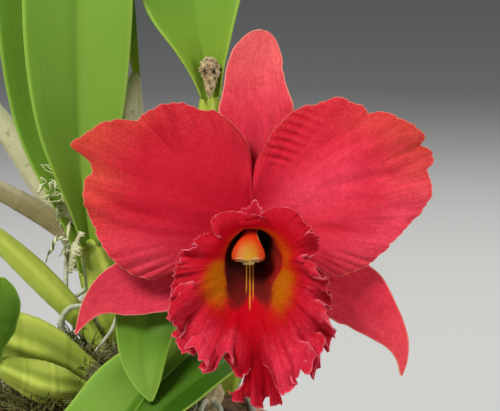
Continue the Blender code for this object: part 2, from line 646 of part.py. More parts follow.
def flower_stalk(material, collection):
    """The ovary and its stalk, from the pseudobulb's top up to the back of the bloom."""
    front = bloom_point(HUB.x / MM, HUB.y / MM, 1.9) / MM
    behind = bloom_point(HUB.x / MM, HUB.y / MM, -9) / MM
    points = [(31.2, -23.6, 147.4), (32.5, -24.5, 153), (37, -30, 160.5), (42, -40, 165), behind, front]
    widths = [(0, 1.2), (0.1, 1.4), (0.5, 1.6), (0.8, 2.1), (0.95, 2.6), (1, 2.4)]

    def radius(s):
        return between(widths, s)

    return stem_body("flower_stalk", points, radius, 14, 8, material, collection, ribs=0.06)


def root_curve(name, plan, material, collection, spare=0.0):
    """A root: a round tube along a smooth curve, with closed ends."""
    path = Path(plan["points"])
    count = 10
    data = bpy.data.curves.new(name, "CURVE")
    data.dimensions = "3D"
    data.bevel_depth = (plan["radius"] + spare) * MM
    data.bevel_resolution = 2
    data.use_fill_caps = True
    spline = data.splines.new("POLY")
    spline.points.add(count - 1)
    for number in range(count):
        share = number / (count - 1)
        place = path.at(share)
        if spare and number == count - 1:
            place = place + path.along(share) * spare
        spline.points[number].co = (*(place * MM), 1)
    data.materials.append(material)
    obj = bpy.data.objects.new(name, data)
    collection.objects.link(obj)
    return obj


def main():
    clear_scene()
    orchid = new_collection("potted_cattleya")
    tools = new_collection("cutters")
    clay = new_material("clay", (0.55, 0.24, 0.13), 0.85)
    bark = new_material("bark", (0.16, 0.09, 0.05), 0.9)
    brown = new_material("creeping_stem", (0.36, 0.30, 0.17), 0.7)
    bulb_green = new_material("pseudobulb_green", (0.40, 0.45, 0.10), 0.45)
    bulb_dry = new_material("pseudobulb_dry", (0.52, 0.47, 0.32), 0.8)
    leaf_green = new_material("leaf_green", (0.16, 0.30, 0.03), 0.35)
    root_grey = new_material("root_grey", (0.55, 0.55, 0.46), 0.8)
    petal_red = new_material("petal_red", (0.66, 0.04, 0.07), 0.45)
    lip_red = new_material("lip_red", (0.55, 0.01, 0.02), 0.45)
    column_orange = new_material("column_orange", (0.75, 0.22, 0.06), 0.4)
    cap_yellow = new_material("cap_yellow", (0.75, 0.60, 0.15), 0.45)
    stalk_green = new_material("stalk_green", (0.35, 0.33, 0.10), 0.5)

    pot(clay, orchid, tools)
    rhizome(brown, orchid, tools)
    dry = {"bulb_old_brown", "bulb_old_grey", "bulb_sheathed"}
    for name in BULBS:
        bulb(name, bulb_dry if name in dry else bulb_green, orchid)
    for name in LEAVES:
        leaf(name, leaf_green, orchid)
    dry_sheath(bulb_dry, orchid)
    for name, plan in ROOTS.items():
        root_curve(name, plan, root_grey, orchid)

    heap = applied(bark_core(bark, orchid))
    chips(bark, tools)
    heap = boolean(heap, "UNION", tools, "EXACT")
    rhizome_bodies(bark, tools, "rhizome_cut", spare=1.5 * GAP / MM)
    for name in BULBS:
        bulb(name, bark, tools, spare=GAP / MM)
    for name, plan in ROOTS.items():
        applied(root_curve(name + "_cut", plan, bark, tools, spare=GAP / MM))
    drop_crumbs(boolean(heap, "DIFFERENCE", tools, "EXACT"))

    petal("petal_left", LEFT_PETAL, 0.6, petal_red, orchid)
    petal("petal_right", RIGHT_PETAL, 2.2, petal_red, orchid)
    sepals(petal_red, orchid)
    lip(lip_red, orchid)
    column(column_orange, orchid)
    anther_cap(cap_yellow, orchid)
    flower_stalk(stalk_green, orchid)


main()
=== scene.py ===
import json
import math

import bpy
import numpy as np
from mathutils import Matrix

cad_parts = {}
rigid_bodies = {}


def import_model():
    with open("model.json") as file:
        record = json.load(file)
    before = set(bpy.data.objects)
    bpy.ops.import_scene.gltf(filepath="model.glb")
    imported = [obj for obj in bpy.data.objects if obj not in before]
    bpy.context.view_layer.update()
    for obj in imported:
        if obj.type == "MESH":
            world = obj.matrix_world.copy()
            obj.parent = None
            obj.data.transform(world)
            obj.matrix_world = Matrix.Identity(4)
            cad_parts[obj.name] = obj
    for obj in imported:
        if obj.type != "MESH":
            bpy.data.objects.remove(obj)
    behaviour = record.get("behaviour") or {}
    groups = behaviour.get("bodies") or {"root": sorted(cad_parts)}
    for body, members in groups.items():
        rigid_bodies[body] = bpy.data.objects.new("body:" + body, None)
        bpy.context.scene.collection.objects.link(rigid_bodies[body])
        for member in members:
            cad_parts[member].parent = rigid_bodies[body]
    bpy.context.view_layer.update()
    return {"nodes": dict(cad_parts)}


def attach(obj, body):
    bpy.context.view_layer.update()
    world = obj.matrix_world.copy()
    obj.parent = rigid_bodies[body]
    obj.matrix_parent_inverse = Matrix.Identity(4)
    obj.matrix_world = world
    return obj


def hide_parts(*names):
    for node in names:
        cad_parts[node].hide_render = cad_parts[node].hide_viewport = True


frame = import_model()
print("stage 1: the packed plant is in, with", len(frame["nodes"]), "nodes")

mm = 0.001


def unit(v):
    return v / np.maximum(np.linalg.norm(v, axis=-1, keepdims=True), 1e-9)


def hill(x, middle=0, wide=1, power=2):
    # 1 at the middle, falling off to either side as exp of minus the distance in widths, to the power
    return np.exp(-np.abs((x - middle) / wide) ** power)


def smoothStep(low, high, x):
    f = np.clip((x - low) / (high - low), 0, 1)
    return f * f * (3 - 2 * f)


def window(x, low, full, fade, gone):
    # rises from low to full, stays at 1 and falls from fade to gone
    return smoothStep(low, full, x) * (1 - smoothStep(fade, gone, x))


def cubic(f, width, start, end, slopeIn, slopeOut):
    # the curve from start to end with a given slope at each, over a width of which f is the share
    value = (2 * f**3 - 3 * f**2 + 1) * start + (f**3 - 2 * f**2 + f) * width * slopeIn
    return value + (3 * f**2 - 2 * f**3) * end + (f**3 - f**2) * width * slopeOut


def smoothTable(table, x):
    # cubic between rows of (position, values): each slope comes from the two neighbours, the ends are held
    rows = np.array(table, float)
    rows = rows[np.argsort(rows[:, 0])]
    xs, ys = rows[:, 0], rows[:, 1:]
    x = np.clip(x, xs[0], xs[-1])
    i = np.clip(np.searchsorted(xs, x) - 1, 0, len(xs) - 2)
    before, after = np.maximum(i - 1, 0), np.minimum(i + 2, len(xs) - 1)
    width = (xs[i + 1] - xs[i])[..., None]
    slopeIn = (ys[i + 1] - ys[before]) / (xs[i + 1] - xs[before])[..., None]
    slopeOut = (ys[after] - ys[i]) / (xs[after] - xs[i])[..., None]
    value = cubic((x - xs[i])[..., None] / width, width, ys[i], ys[i + 1], slopeIn, slopeOut)
    return value[..., 0] if value.shape[-1] == 1 else value


def midline(points, s):
    # the points at shares s of a smooth curve's length, and the direction there
    points = np.array(points, float)
    steps = np.linalg.norm(np.diff(points, axis=0), axis=1)
    table = np.column_stack([np.concatenate([[0], np.cumsum(steps) / steps.sum()]), points])
    ahead = smoothTable(table, np.minimum(s + 0.02, 1)) - smoothTable(table, np.maximum(s - 0.02, 0))
    return smoothTable(table, s), unit(ahead)


def frameAlong(points, s, steady):
    # points of the midline with a side and a face direction square to it
    place, along = midline(points, s)
    side = unit(np.cross(along, np.array(steady, float)))
    return place, along, side, np.cross(side, along)


def wander(x, seed, waves):
    # a smooth made-up wobble of about -1 to 1: sines of rising pitch with seeded phases
    draw = np.random.default_rng(seed)
    total = 0
    for pitch in range(1, waves + 1):
        total = total + np.sin(pitch * x + draw.uniform(0, 6.3)) * draw.uniform(0.5, 1)
    return total / (0.6 * waves**0.5 + 0.5)


def sheetShares(rows, columns, power=1):
    # s runs 0 to 1 along a sheet, closer together near 1 where the power is larger, and t -1 to 1 across
    share = 1 - (1 - np.linspace(0, 1, rows)) ** power
    return np.meshgrid(share, np.linspace(-1, 1, columns), indexing="ij")


def tubeShares(rows, sides):
    # s runs 0 to 1 along a tube and t from 0 once round it
    return np.meshgrid(np.linspace(0, 1, rows), np.arange(sides) / sides, indexing="ij")


def gridFaces(rows, columns, closed=False):
    # quads over points numbered row by row, run on round from the last column to the first where closed
    index = np.arange(rows * columns).reshape(rows, columns)
    if closed:
        index = np.column_stack([index, index[:, 0]])
    return np.stack([index[:-1, :-1], index[1:, :-1], index[1:, 1:], index[:-1, 1:]], -1).reshape(-1, 4)


def makeMesh(name, points, quads, triangles=None, masks=None, uv=None):
    # a smooth mesh of these faces; each mask is a number from 0 to 1 at every point
    triangles = np.zeros((0, 3), int) if triangles is None else triangles
    mesh = bpy.data.meshes.new(name)
    mesh.vertices.add(len(points))
    mesh.vertices.foreach_set("co", np.ascontiguousarray(points, np.float32).ravel())
    loops = np.concatenate([quads.ravel(), triangles.ravel()]).astype(np.int32)
    starts = np.concatenate([np.arange(len(quads)) * 4, len(quads) * 4 + np.arange(len(triangles)) * 3])
    mesh.loops.add(len(loops))
    mesh.loops.foreach_set("vertex_index", loops)
    mesh.polygons.add(len(starts))
    mesh.polygons.foreach_set("loop_start", starts.astype(np.int32))
    mesh.update(calc_edges=True)
    if uv is not None:
        data = mesh.uv_layers.new(name="UVMap").data
        data.foreach_set("uv", np.ascontiguousarray(uv[loops], np.float32).ravel())
    for mask, values in (masks or {}).items():
        data = mesh.attributes.new(mask, "FLOAT", "POINT").data
        data.foreach_set("value", np.clip(values, 0, 1).astype(np.float32).ravel())
    mesh.shade_smooth()
    return mesh


def addPiece(name, mesh, material, nodes=()):
    piece = bpy.data.objects.new(name, mesh)
    bpy.context.scene.collection.objects.link(piece)
    mesh.materials.append(material)
    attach(piece, "root")
    if nodes:
        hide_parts(*nodes)


def dressNode(node, mesh, material):
    # the detailed piece that takes the place of one CAD node
    addPiece(node.replace("_", ""), mesh, material, [node])


def sheetMesh(name, grid, thickness, masks, uv, turned=False):
    # two layers half a thickness either side of the grid along its normals, joined round the rim; a
    # grid that runs the wrong way across is turned, so that its front is the layer that shows
    rows, columns = grid.shape[:2]
    across = slice(None, None, -1) if turned else slice(None)
    fields = {mask: np.broadcast_to(values, (rows, columns))[:, across] for mask, values in masks.items()}
    half = np.broadcast_to(thickness, (rows, columns))[:, across, None] / 2
    grid = grid[:, across]
    normal = unit(np.cross(np.gradient(grid, axis=0), np.gradient(grid, axis=1)))
    points = np.concatenate([(grid + normal * half).reshape(-1, 3), (grid - normal * half).reshape(-1, 3)])
    count = rows * columns
    index = np.arange(count).reshape(rows, columns)
    front = gridFaces(rows, columns)
    faces = [front, front[:, ::-1] + count]
    for line in (index[::-1, 0], index[:, -1], index[0], index[-1, ::-1]):
        faces.append(np.stack([line[:-1], line[1:], line[1:] + count, line[:-1] + count], -1))
    both = {mask: np.tile(values.ravel(), 2) for mask, values in fields.items()}
    both["under"] = np.repeat([0.0, 1.0], count)
    uv = np.tile(uv[:, across].reshape(-1, 2), (2, 1))
    return makeMesh(name, points, np.concatenate(faces), masks=both, uv=uv)


def bodyMesh(name, rings, masks, uv):
    # rings of points round a midline, closed round and capped with a fan at each end
    rows, sides = rings.shape[:2]
    points = np.concatenate([rings.reshape(-1, 3), rings[0].mean(0)[None], rings[-1].mean(0)[None]])
    ring = np.arange(sides)
    after = np.roll(ring, -1)
    last = (rows - 1) * sides
    start = np.stack([np.full(sides, rows * sides), ring, after], -1)
    end = np.stack([np.full(sides, rows * sides + 1), last + after, last + ring], -1)
    flat = {}
    for mask, values in masks.items():
        values = np.broadcast_to(values, (rows, sides))
        flat[mask] = np.concatenate([values.ravel(), [values[0].mean(), values[-1].mean()]])
    uv = np.concatenate([uv.reshape(-1, 2), [uv[0].mean(0), uv[-1].mean(0)]])
    return makeMesh(name, points, gridFaces(rows, sides, True), np.concatenate([start, end]), flat, uv)


def tubeRings(points, radius):
    # rings of the given radius at each point, square to a smooth midline; the direction that steadies
    # them is the world axis that the midline runs least along
    s, t = tubeShares(*radius.shape)
    along = np.abs(midline(points, np.arange(9) / 8)[1]).max(0)
    place, _, side, face = frameAlong(points, s, np.eye(3)[int(np.argmin(along))])
    ring = side * np.cos(2 * np.pi * t)[..., None] + face * np.sin(2 * np.pi * t)[..., None]
    return (place + ring * radius[..., None]) * mm


def closedTube(points, radius):
    # rings whose first and last are drawn in to a point, so that the tube is closed
    rings = tubeRings(points, radius)
    rings[0], rings[-1] = rings[0].mean(0), rings[-1].mean(0)
    return rings, gridFaces(*radius.shape, True)


def turnedRings(radius, level, sides, middle=(0, 0)):
    # level circles of the given radii at the given heights round an upright line
    turn = np.arange(sides) / sides * 2 * np.pi
    radius, level = np.reshape(radius, (-1, 1)), np.reshape(level, (-1, 1))
    right, back = middle[0] + radius * np.cos(turn), middle[1] + radius * np.sin(turn)
    return np.stack([right, back, level + 0 * turn], -1) * mm


def joinedMesh(name, parts):
    # several sets of points and quads as one mesh, with a plain map seen from above
    offset, points, quads = 0, [], []
    for some, faces in parts:
        points.append(some.reshape(-1, 3))
        quads.append(faces + offset)
        offset += len(points[-1])
    points = np.concatenate(points)
    return makeMesh(name, points, np.concatenate(quads), uv=points[:, :2] * 20)


# Shader helpers, each adding one node or two
def newMaterial(name, roughness, specular, sheen=0, soft=0):
    material = bpy.data.materials.new(name)
    material.use_nodes = True
    tree = material.node_tree
    shader = tree.nodes["Principled BSDF"]
    finish = {"Roughness": roughness, "Specular IOR Level": specular, "Sheen Weight": sheen,
              "Sheen Roughness": 0.4, "Subsurface Weight": soft, "Subsurface Scale": 0.0015}
    for label, value in finish.items():
        shader.inputs[label].default_value = value
    return material, tree, shader


def feed(tree, socket, value):
    # a mask by its name, another node's output, a number or a colour goes into the socket
    if isinstance(value, str):
        node = tree.nodes.new("ShaderNodeAttribute")
        node.attribute_name = value
        value = node.outputs["Fac"]
    if isinstance(value, bpy.types.NodeSocket):
        tree.links.new(value, socket)
    else:
        socket.default_value = (*value, 1) if isinstance(value, tuple) else value


def noiseNode(tree, scale, detail=3, rough=0.55):
    # noise over the object's own coordinates or, where the scale is a pair, stretched over its map
    mapped = isinstance(scale, tuple)
    place = tree.nodes.new("ShaderNodeTexCoord").outputs["UV" if mapped else "Object"]
    if mapped:
        mapping = tree.nodes.new("ShaderNodeMapping")
        mapping.inputs["Scale"].default_value = (*scale, 1)
        tree.links.new(place, mapping.inputs["Vector"])
        place = mapping.outputs["Vector"]
    node = tree.nodes.new("ShaderNodeTexNoise")
    node.inputs["Scale"].default_value = 1 if mapped else scale
    node.inputs["Detail"].default_value = detail
    node.inputs["Roughness"].default_value = rough
    tree.links.new(place, node.inputs["Vector"])
    return node.outputs["Fac"]


def rampNode(tree, factor, none, full, least=0):
    # from the least where the factor is at none to 1 where it is at full, whichever is the higher
    node = tree.nodes.new("ShaderNodeValToRGB")
    for element, (position, level) in zip(node.color_ramp.elements, sorted([(none, least), (full, 1)])):
        element.position = position
        element.color = (level, level, level, 1)
    tree.links.new(factor, node.inputs["Fac"])
    return node.outputs["Color"]


def pattern(tree, scale, detail, rough, none, full, least=0):
    return rampNode(tree, noiseNode(tree, scale, detail, rough), none, full, least)


def mathNode(tree, operation, first, second):
    node = tree.nodes.new("ShaderNodeMath")
    node.operation = operation
    feed(tree, node.inputs[0], first)
    feed(tree, node.inputs[1], second)
    return node.outputs["Value"]


def times(tree, first, second):
    return mathNode(tree, "MULTIPLY", first, second)


def plus(tree, first, second):
    return mathNode(tree, "ADD", first, second)


def layer(tree, colour, where, over, share=1, blend="MIX"):
    # a second colour over the first where a mask or a pattern says, at most by the share
    node = tree.nodes.new("ShaderNodeMix")
    node.data_type = "RGBA"
    node.blend_type = blend
    factor = where if share == 1 else times(tree, where, share)
    for label, value in (("Factor", factor), ("A", colour), ("B", over)):
        feed(tree, [socket for socket in node.inputs if socket.name == label and socket.enabled][0], value)
    return [socket for socket in node.outputs if socket.enabled][0]


def finishShader(tree, shader, colour, height, strength, distance):
    # the colour and a bump of the given strength and depth
    feed(tree, shader.inputs["Base Color"], colour)
    node = tree.nodes.new("ShaderNodeBump")
    node.inputs["Strength"].default_value = strength
    node.inputs["Distance"].default_value = distance
    feed(tree, node.inputs["Height"], height)
    feed(tree, shader.inputs["Normal"], node.outputs["Normal"])


def plainMaterial(name, colour, second, scale, roughness, specular=0.4, bump=0.3, depth=0.0003, soft=0):
    # one colour in patches over another, with a finer bump
    material, tree, shader = newMaterial(name, roughness, specular, 0, soft)
    colour = layer(tree, colour, pattern(tree, scale, 5, 0.6, 0.3, 0.7), second)
    finishShader(tree, shader, colour, noiseNode(tree, scale * 4, 4, 0.6), bump, depth)
    return material


# Where the bloom sits: its plane is measured in mm right, up and towards the viewer
bloom = {
    "centre": (44.3, -62, 160),
    "tilt": 8,
    "hub": (0.3, 7.25),
}


def bloomPoint(right, up, forward):
    tilt = math.radians(bloom["tilt"])
    right, up, forward = np.broadcast_arrays(right, up, forward)
    x = bloom["centre"][0] + right
    y = bloom["centre"][1] + up * math.sin(tilt) - forward * math.cos(tilt)
    z = bloom["centre"][2] + up * math.cos(tilt) + forward * math.sin(tilt)
    return np.stack([x, y, z], -1) * mm


# Petal and sepal finish: velvety red, coral at the tips, faint rays and a thin pale rim, with painted shade,
# painted pink highlights, painted glints and painted light on the lit petal
petalLook = {
    "heart": (0.5, 0.004, 0.02),
    "middle": (0.76, 0.026, 0.058),
    "tip": (0.66, 0.085, 0.04),
    "blush": (0.86, 0.19, 0.155),
    "pinkTintAndHighlight": (0.96, 0.085, 0.15),
    "rim": (0.84, 0.36, 0.24),
    "vein": (0.62, 0.45, 0.52),
    "grain": (0.72, 0.45, 0.55),
    "roughness": 0.6,
    "sheen": 0.025,
}


def petalMaterial():
    look = petalLook
    material, tree, shader = newMaterial("petalVelvet", look["roughness"], 0.1, look["sheen"], 0.1)
    shader.inputs["Subsurface Radius"].default_value = (1.0, 0.25, 0.2)
    shader.inputs["Sheen Tint"].default_value = (1, 0.6, 0.6, 1)
    # glow: the crimson heart rising to the middle colour, with a painted highlight band along the ridge and
    # painted light over the lit petal
    colour = layer(tree, look["heart"], "glow", look["middle"])
    # the pink is a tint on the sepals and painted pink highlights in patches on the petals
    for mask in ("tip", "blush", "pinkTintAndHighlight"):
        colour = layer(tree, colour, mask, look[mask])
    colour = layer(tree, colour, pattern(tree, 150, 5, 0.65, 0.34, 0.68), look["heart"], 0.38)
    colour = layer(tree, colour, "shade", look["heart"])
    rays = times(tree, pattern(tree, (95, 5), 4, 0.6, 0.62, 0.42), "rays")
    colour = layer(tree, colour, rays, look["vein"], 1, "MULTIPLY")
    colour = layer(tree, colour, pattern(tree, 900, 3, 0.65, 0.60, 0.38), look["grain"], 0.42, "MULTIPLY")
    # painted glints: pale blush flecks in fine streaks where the mask says
    paintedGlint = times(tree, pattern(tree, (150, 42), 4, 0.75, 0.54, 0.70), "paintedGlint")
    colour = layer(tree, colour, paintedGlint, look["blush"])
    colour = layer(tree, colour, "edge", look["rim"])
    height = plus(tree, noiseNode(tree, 1500, 2), times(tree, rays, -0.8))
    finishShader(tree, shader, colour, height, 0.35, 0.00025)
    return material


petalVelvet = petalMaterial()

# Each petal: how far it reaches from the hub in mm, by the angle of the ray seen from the front. Folds are
# (angle, spread, start, depth) and pink highlights are painted patches (angle, spread, share of the reach,
# spread, strength)
# A ridge runs along each petal at one angle and carries a painted highlight band from a given share of its
# reach; the last number paints light over a whole petal, the lit right one
petalShapes = {
    "petal_left": {
        "reach": [
            (88.9, 13.5), (90.9, 21.0), (95.7, 26.2), (101.5, 30.5), (106.7, 34.2), (113.3, 36.4),
            (116.6, 38.3), (119.5, 40.6), (123.9, 42.6), (128.5, 43.8), (133.4, 44.7), (138.2, 45.1),
            (140.2, 47.6), (143, 50.6), (146.5, 52.6), (150.7, 54.6), (153.6, 56.0), (155.2, 56.9),
            (156.3, 57.1), (156.9, 55.4), (157.5, 52.3), (158.9, 50.2), (161.2, 48.7), (164.1, 49.6),
            (167.6, 49.9), (171.5, 49.0), (176.5, 47.1), (183.7, 44.8), (189.7, 43.0), (194.3, 41.0),
            (198.4, 39.4), (202.4, 37.3), (206.6, 34.4), (209.4, 31.3), (210.6, 26),
        ],
        "sway": 0.6, "seed": 3, "ridgeHighlightAngle": 166, "highlightStart": 0.62, "tipAngle": 157, "streakAngle": 172,
        "folds": [(137, 5, 0.5, 1.3), (113, 4, 0.7, 0.78)], "lowerPleats": 203, "ripples": 0,
        "pinkHighlights": [(197, 13, 0.8, 0.28, 0.5), (215, 12, 0.6, 0.3, 0.2)], "light": 0.0,
    },
    "petal_right": {
        "reach": [
            (88.3, 12.0), (85.4, 18.0), (80.4, 22.6), (77.1, 27.4), (73.2, 31.2), (70.1, 34.9),
            (66.4, 37.4), (61.2, 40.2), (58.0, 42.7), (55.0, 45.0), (50.4, 46.1), (47.0, 47.2),
            (43.5, 47.4), (41.9, 49.0), (39.5, 51.1), (36.9, 52.2), (34.6, 53.4), (31.5, 55.5),
            (28.5, 56.4), (26.4, 56.2), (25.4, 54.6), (23.4, 56.2), (21.0, 56.5), (18.9, 55.6),
            (17.4, 53.4), (14.1, 53.7), (10.9, 53.6), (8.0, 52.1), (4.3, 49.7), (1.8, 47.0), (-2.7, 43.8),
            (-7.3, 41.2), (-13.1, 38.4), (-19, 35.6), (-25, 32.3), (-30.7, 29.0), (-33.3, 26.4),
        ],
        "sway": 2.2, "seed": 8, "ridgeHighlightAngle": 30, "highlightStart": 0.0, "tipAngle": 22, "streakAngle": -3,
        "folds": [(52, 3, 0.7, 0.65)], "lowerPleats": -20, "ripples": 1,
        "pinkHighlights": [
            (31, 26, 0.22, 0.2, 0.75), (27, 17, 0.5, 0.2, 0.4), (-10, 18, 0.85, 0.35, 0.65),
            (8, 12, 0.9, 0.2, 0.4),
        ],
        # painted light over the whole of this petal, the lit one
        "light": 0.35,
    },
}
petalDetail = {"rows": 84, "columns": 250, "thickness": 0.8, "innerRadius": 3.4, "crinkle": 0.15}


def petalMesh(name, shape):
    # rays fan from the hub: a point lies at share s of its ray's reach, and its depth is an arch
    # along the ray plus slow waves round the rim, fine pleats near it and a row of ripples inside
    s, t = sheetShares(petalDetail["rows"], petalDetail["columns"], 1.3)
    first, last = shape["reach"][0][0], shape["reach"][-1][0]
    angle = first + (last - first) * (t + 1) / 2
    turn = np.radians(angle)
    seed, sway = shape["seed"], shape["sway"]
    teeth = 0.28 * wander(turn * 19, seed, 6) + 0.16 * wander(turn * 47, seed + 1, 5)
    reach = smoothTable(shape["reach"], angle) + teeth * (1 - np.abs(t) ** 6)
    distance = petalDetail["innerRadius"] + s * (reach - petalDetail["innerRadius"])
    inside = 1 - np.abs(t) ** 4
    wave = s**3 * (1.3 * np.sin(7.5 * turn + sway) + 0.7 * np.sin(17 * turn + 2 * sway))
    depth = 1.5 + 3.2 * np.sin(1.9 * s) - 1.6 * s**3 + wave * (0.35 + 0.65 * inside)
    smooth = 1 - shape["ripples"] * hill(angle, 68, 17, 4)
    pleats = np.sin(58 * turn + 3 * wander(turn * 3, seed + 2, 4))
    pleats = pleats * (0.5 + 0.5 * wander(turn * 5, seed + 3, 5))
    depth += petalDetail["crinkle"] * pleats * smoothStep(0.45, 1, s) * inside * smooth
    depth += 0.35 * wander(turn * 8 + 3 * s, seed + 4, 5) * smoothStep(0.2, 0.8, s) * (0.3 + 0.7 * smooth)
    depth += 0.54 * hill(angle, shape["ridgeHighlightAngle"], 9) * np.sin(np.pi * s)
    ripples = shape["ripples"] * hill(angle, 69, 13, 4) * smoothStep(17, 22, distance)
    ripples = ripples * (1 - smoothStep(0.94, 1, s))
    ripple = np.sin(distance * 2.35 + 0.13 * (angle - 69))
    depth += 0.5 * ripples * ripple
    for middle, wide, start, deep in shape["folds"]:
        depth -= deep * hill(angle, middle, wide) * smoothStep(start, 1, s)
    lowerPleats = hill(angle, shape["lowerPleats"], 12) * smoothStep(0.5, 0.95, s)
    depth += 0.38 * lowerPleats * np.sin(74 * turn + 2 * wander(turn * 3, seed + 6, 4))
    streak = hill(angle, shape["streakAngle"], 5) * window(s, 0.3, 0.5, 0.75, 0.95)
    depth -= 0.7 * streak
    shade = 0.75 * (ripples * np.clip(-ripple, 0, 1) + hill(angle, 134, 9) * window(s, 0.55, 0.8, 0.84, 0.97))
    # a painted highlight band along the ridge; with the rise from the heart and the painted light it makes
    # the glow
    paintedHighlightBand = hill(angle, shape["ridgeHighlightAngle"], 22)
    start = shape["highlightStart"]
    glow = 0.3 * smoothStep(0, 0.55, s) + 0.5 * paintedHighlightBand * smoothStep(start, start + 0.3, s)
    # painted pink highlights, in patches by angle and share of the reach
    pinkTintAndHighlight = 0
    for middle, wide, place, long, strength in shape["pinkHighlights"]:
        pinkTintAndHighlight = pinkTintAndHighlight + strength * hill(angle, middle, wide) * hill(s, place, long)
    tipTint = 0.85 * hill(angle, shape["tipAngle"], 26) * smoothStep(0.62, 1.02, s)
    rimGap = np.minimum((1 - s) * reach, (1 - np.abs(t)) * distance * 1.05)
    masks = {
        "glow": glow + shape["light"] * (0.4 + 0.6 * paintedHighlightBand),
        "tip": np.maximum(tipTint, 0.16 * smoothStep(0.75, 1, s)),
        "edge": (1 - smoothStep(0.04, 0.28, rimGap)) * 0.65 * smoothStep(15, 26, distance),
        "rays": smoothStep(0.3, 0.95, s) * 0.42 * (0.4 + 0.6 * smooth),
        "shade": np.maximum(shade, 0.5 * streak) + 0.35 * hill(s, 0.12, 0.2),
        "blush": 0,
        "pinkTintAndHighlight": pinkTintAndHighlight,
        # painted glints, more towards the rim and on the lower pleats
        "paintedGlint": 0.05 + 0.20 * smoothStep(0.45, 0.95, s) + 0.17 * lowerPleats,
    }
    thickness = petalDetail["thickness"] * mm * (0.45 + 0.55 * smoothStep(0, 3, rimGap))
    right, up = bloom["hub"][0] + distance * np.cos(turn), bloom["hub"][1] + distance * np.sin(turn)
    return sheetMesh(name, bloomPoint(right, up, depth), thickness, masks, np.stack([turn / 2, s], -1),
                     name == "petal_right")


for name, shape in petalShapes.items():
    dressNode(name, petalMesh(name, shape), petalVelvet)
print("stage 2: the two petals are made")

# Each sepal: its midrib in the bloom's plane, half width and the outline's share of it
sepalShapes = {
    "sepal_top": {
        "rib": [
            (0.3, 10.15, -1.4), (1.7, 25, -3), (1.8, 40, -4.7), (1.4, 52, -6.4), (2.5, 58, -7.5),
            (4.1, 64.4, -9),
        ],
        "halfWidth": 10.9,
        "outline": [
            (0, 0.2), (0.15, 0.5), (0.3, 0.85), (0.45, 0.98), (0.57, 1), (0.634, 0.92), (0.71, 0.82),
            (0.79, 0.77), (0.863, 0.67), (0.94, 0.48), (0.985, 0.26), (1, 0.08),
        ],
        "tip": 0.95, "glow": 1.0, "pinkTintAndHighlight": 0.3, "seed": 21,
    },
    "sepal_left": {
        "rib": [
            (-2.1, 5.55, -1.6), (-17, -4, -3.5), (-34.2, -10.7, -4.5), (-41.5, -13.3, -4.5),
            (-45.8, -16.4, -4), (-48.7, -20.3, -3.5), (-51, -24.7, -3),
        ],
        "halfWidth": 10.2,
        "outline": [
            (0, 0.2), (0.12, 0.55), (0.3, 0.93), (0.45, 1), (0.61, 0.87), (0.74, 0.62), (0.83, 0.36),
            (0.915, 0.17), (1, 0.03),
        ],
        "tip": 0.25, "glow": 1.0, "pinkTintAndHighlight": 0.45, "seed": 31,
    },
    "sepal_right": {
        "rib": [
            (2.7, 5.55, -1.6), (17, -4.5, -3.5), (31.8, -14.2, -4.5), (36.1, -18.4, -4.5),
            (40.2, -22.9, -4.2), (43, -27.1, -3.9), (44.4, -31.9, -3.4), (44.2, -36.8, -3),
        ],
        "halfWidth": 10.2,
        "outline": [
            (0, 0.2), (0.12, 0.55), (0.3, 0.93), (0.45, 1), (0.566, 0.9), (0.66, 0.745), (0.76, 0.534),
            (0.84, 0.343), (0.92, 0.18), (1, 0.03),
        ],
        "tip": 0.3, "glow": 0.9, "pinkTintAndHighlight": 0.3, "seed": 41,
    },
}
sepalDetail = {"rows": 100, "columns": 44, "thickness": 0.85, "cup": 0.16, "length": 57}


def sepalMesh(name, shape):
    # a blade square to its midrib: its half width follows the outline and its sides cup forward
    s, t = sheetShares(sepalDetail["rows"], sepalDetail["columns"], 1.2)
    place, _, side, _ = frameAlong(shape["rib"], s, (0, 0, 1))
    width = shape["halfWidth"] * smoothTable(shape["outline"], s)
    margin = 1 + 0.02 * wander(s * 16, shape["seed"], 4) * np.abs(t) ** 3
    flat = place + side * (t * width * margin)[..., None]
    depth = flat[..., 2] + sepalDetail["cup"] * width * t * t - 0.35 * hill(t, 0, 0.1) * s * (1 - s)
    depth += 0.28 * wander(s * 9, shape["seed"] + 1, 4) * t * np.abs(t)
    rimGap = np.minimum((1 - np.abs(t)) * width, (1 - s) * sepalDetail["length"])
    masks = {
        "glow": shape["glow"] * smoothStep(0, 0.5, s),
        "tip": shape["tip"] * 0.6 * smoothStep(0.6, 1, s),
        "edge": (1 - smoothStep(0.05, 0.28, rimGap)) * 0.75,
        "rays": 0.4,
        "shade": 0.25 * hill(t, 0, 0.12) * (1 - s),
        "blush": shape["tip"] * 0.95 * smoothStep(0.45, 1, s),
        "pinkTintAndHighlight": shape["pinkTintAndHighlight"] * smoothStep(0.1, 0.5, s),
        # painted glints, a little more towards the tip
        "paintedGlint": 0.05 + 0.12 * s,
    }
    thickness = sepalDetail["thickness"] * mm * (0.45 + 0.55 * smoothStep(0, 2.5, rimGap))
    grid = bloomPoint(flat[..., 0], flat[..., 1], depth)
    return sheetMesh(name, grid, thickness, masks, np.stack([t * 0.25, s], -1))


for name, shape in sepalShapes.items():
    dressNode(name, sepalMesh(name, shape), petalVelvet)
print("stage 3: the three sepals are made")

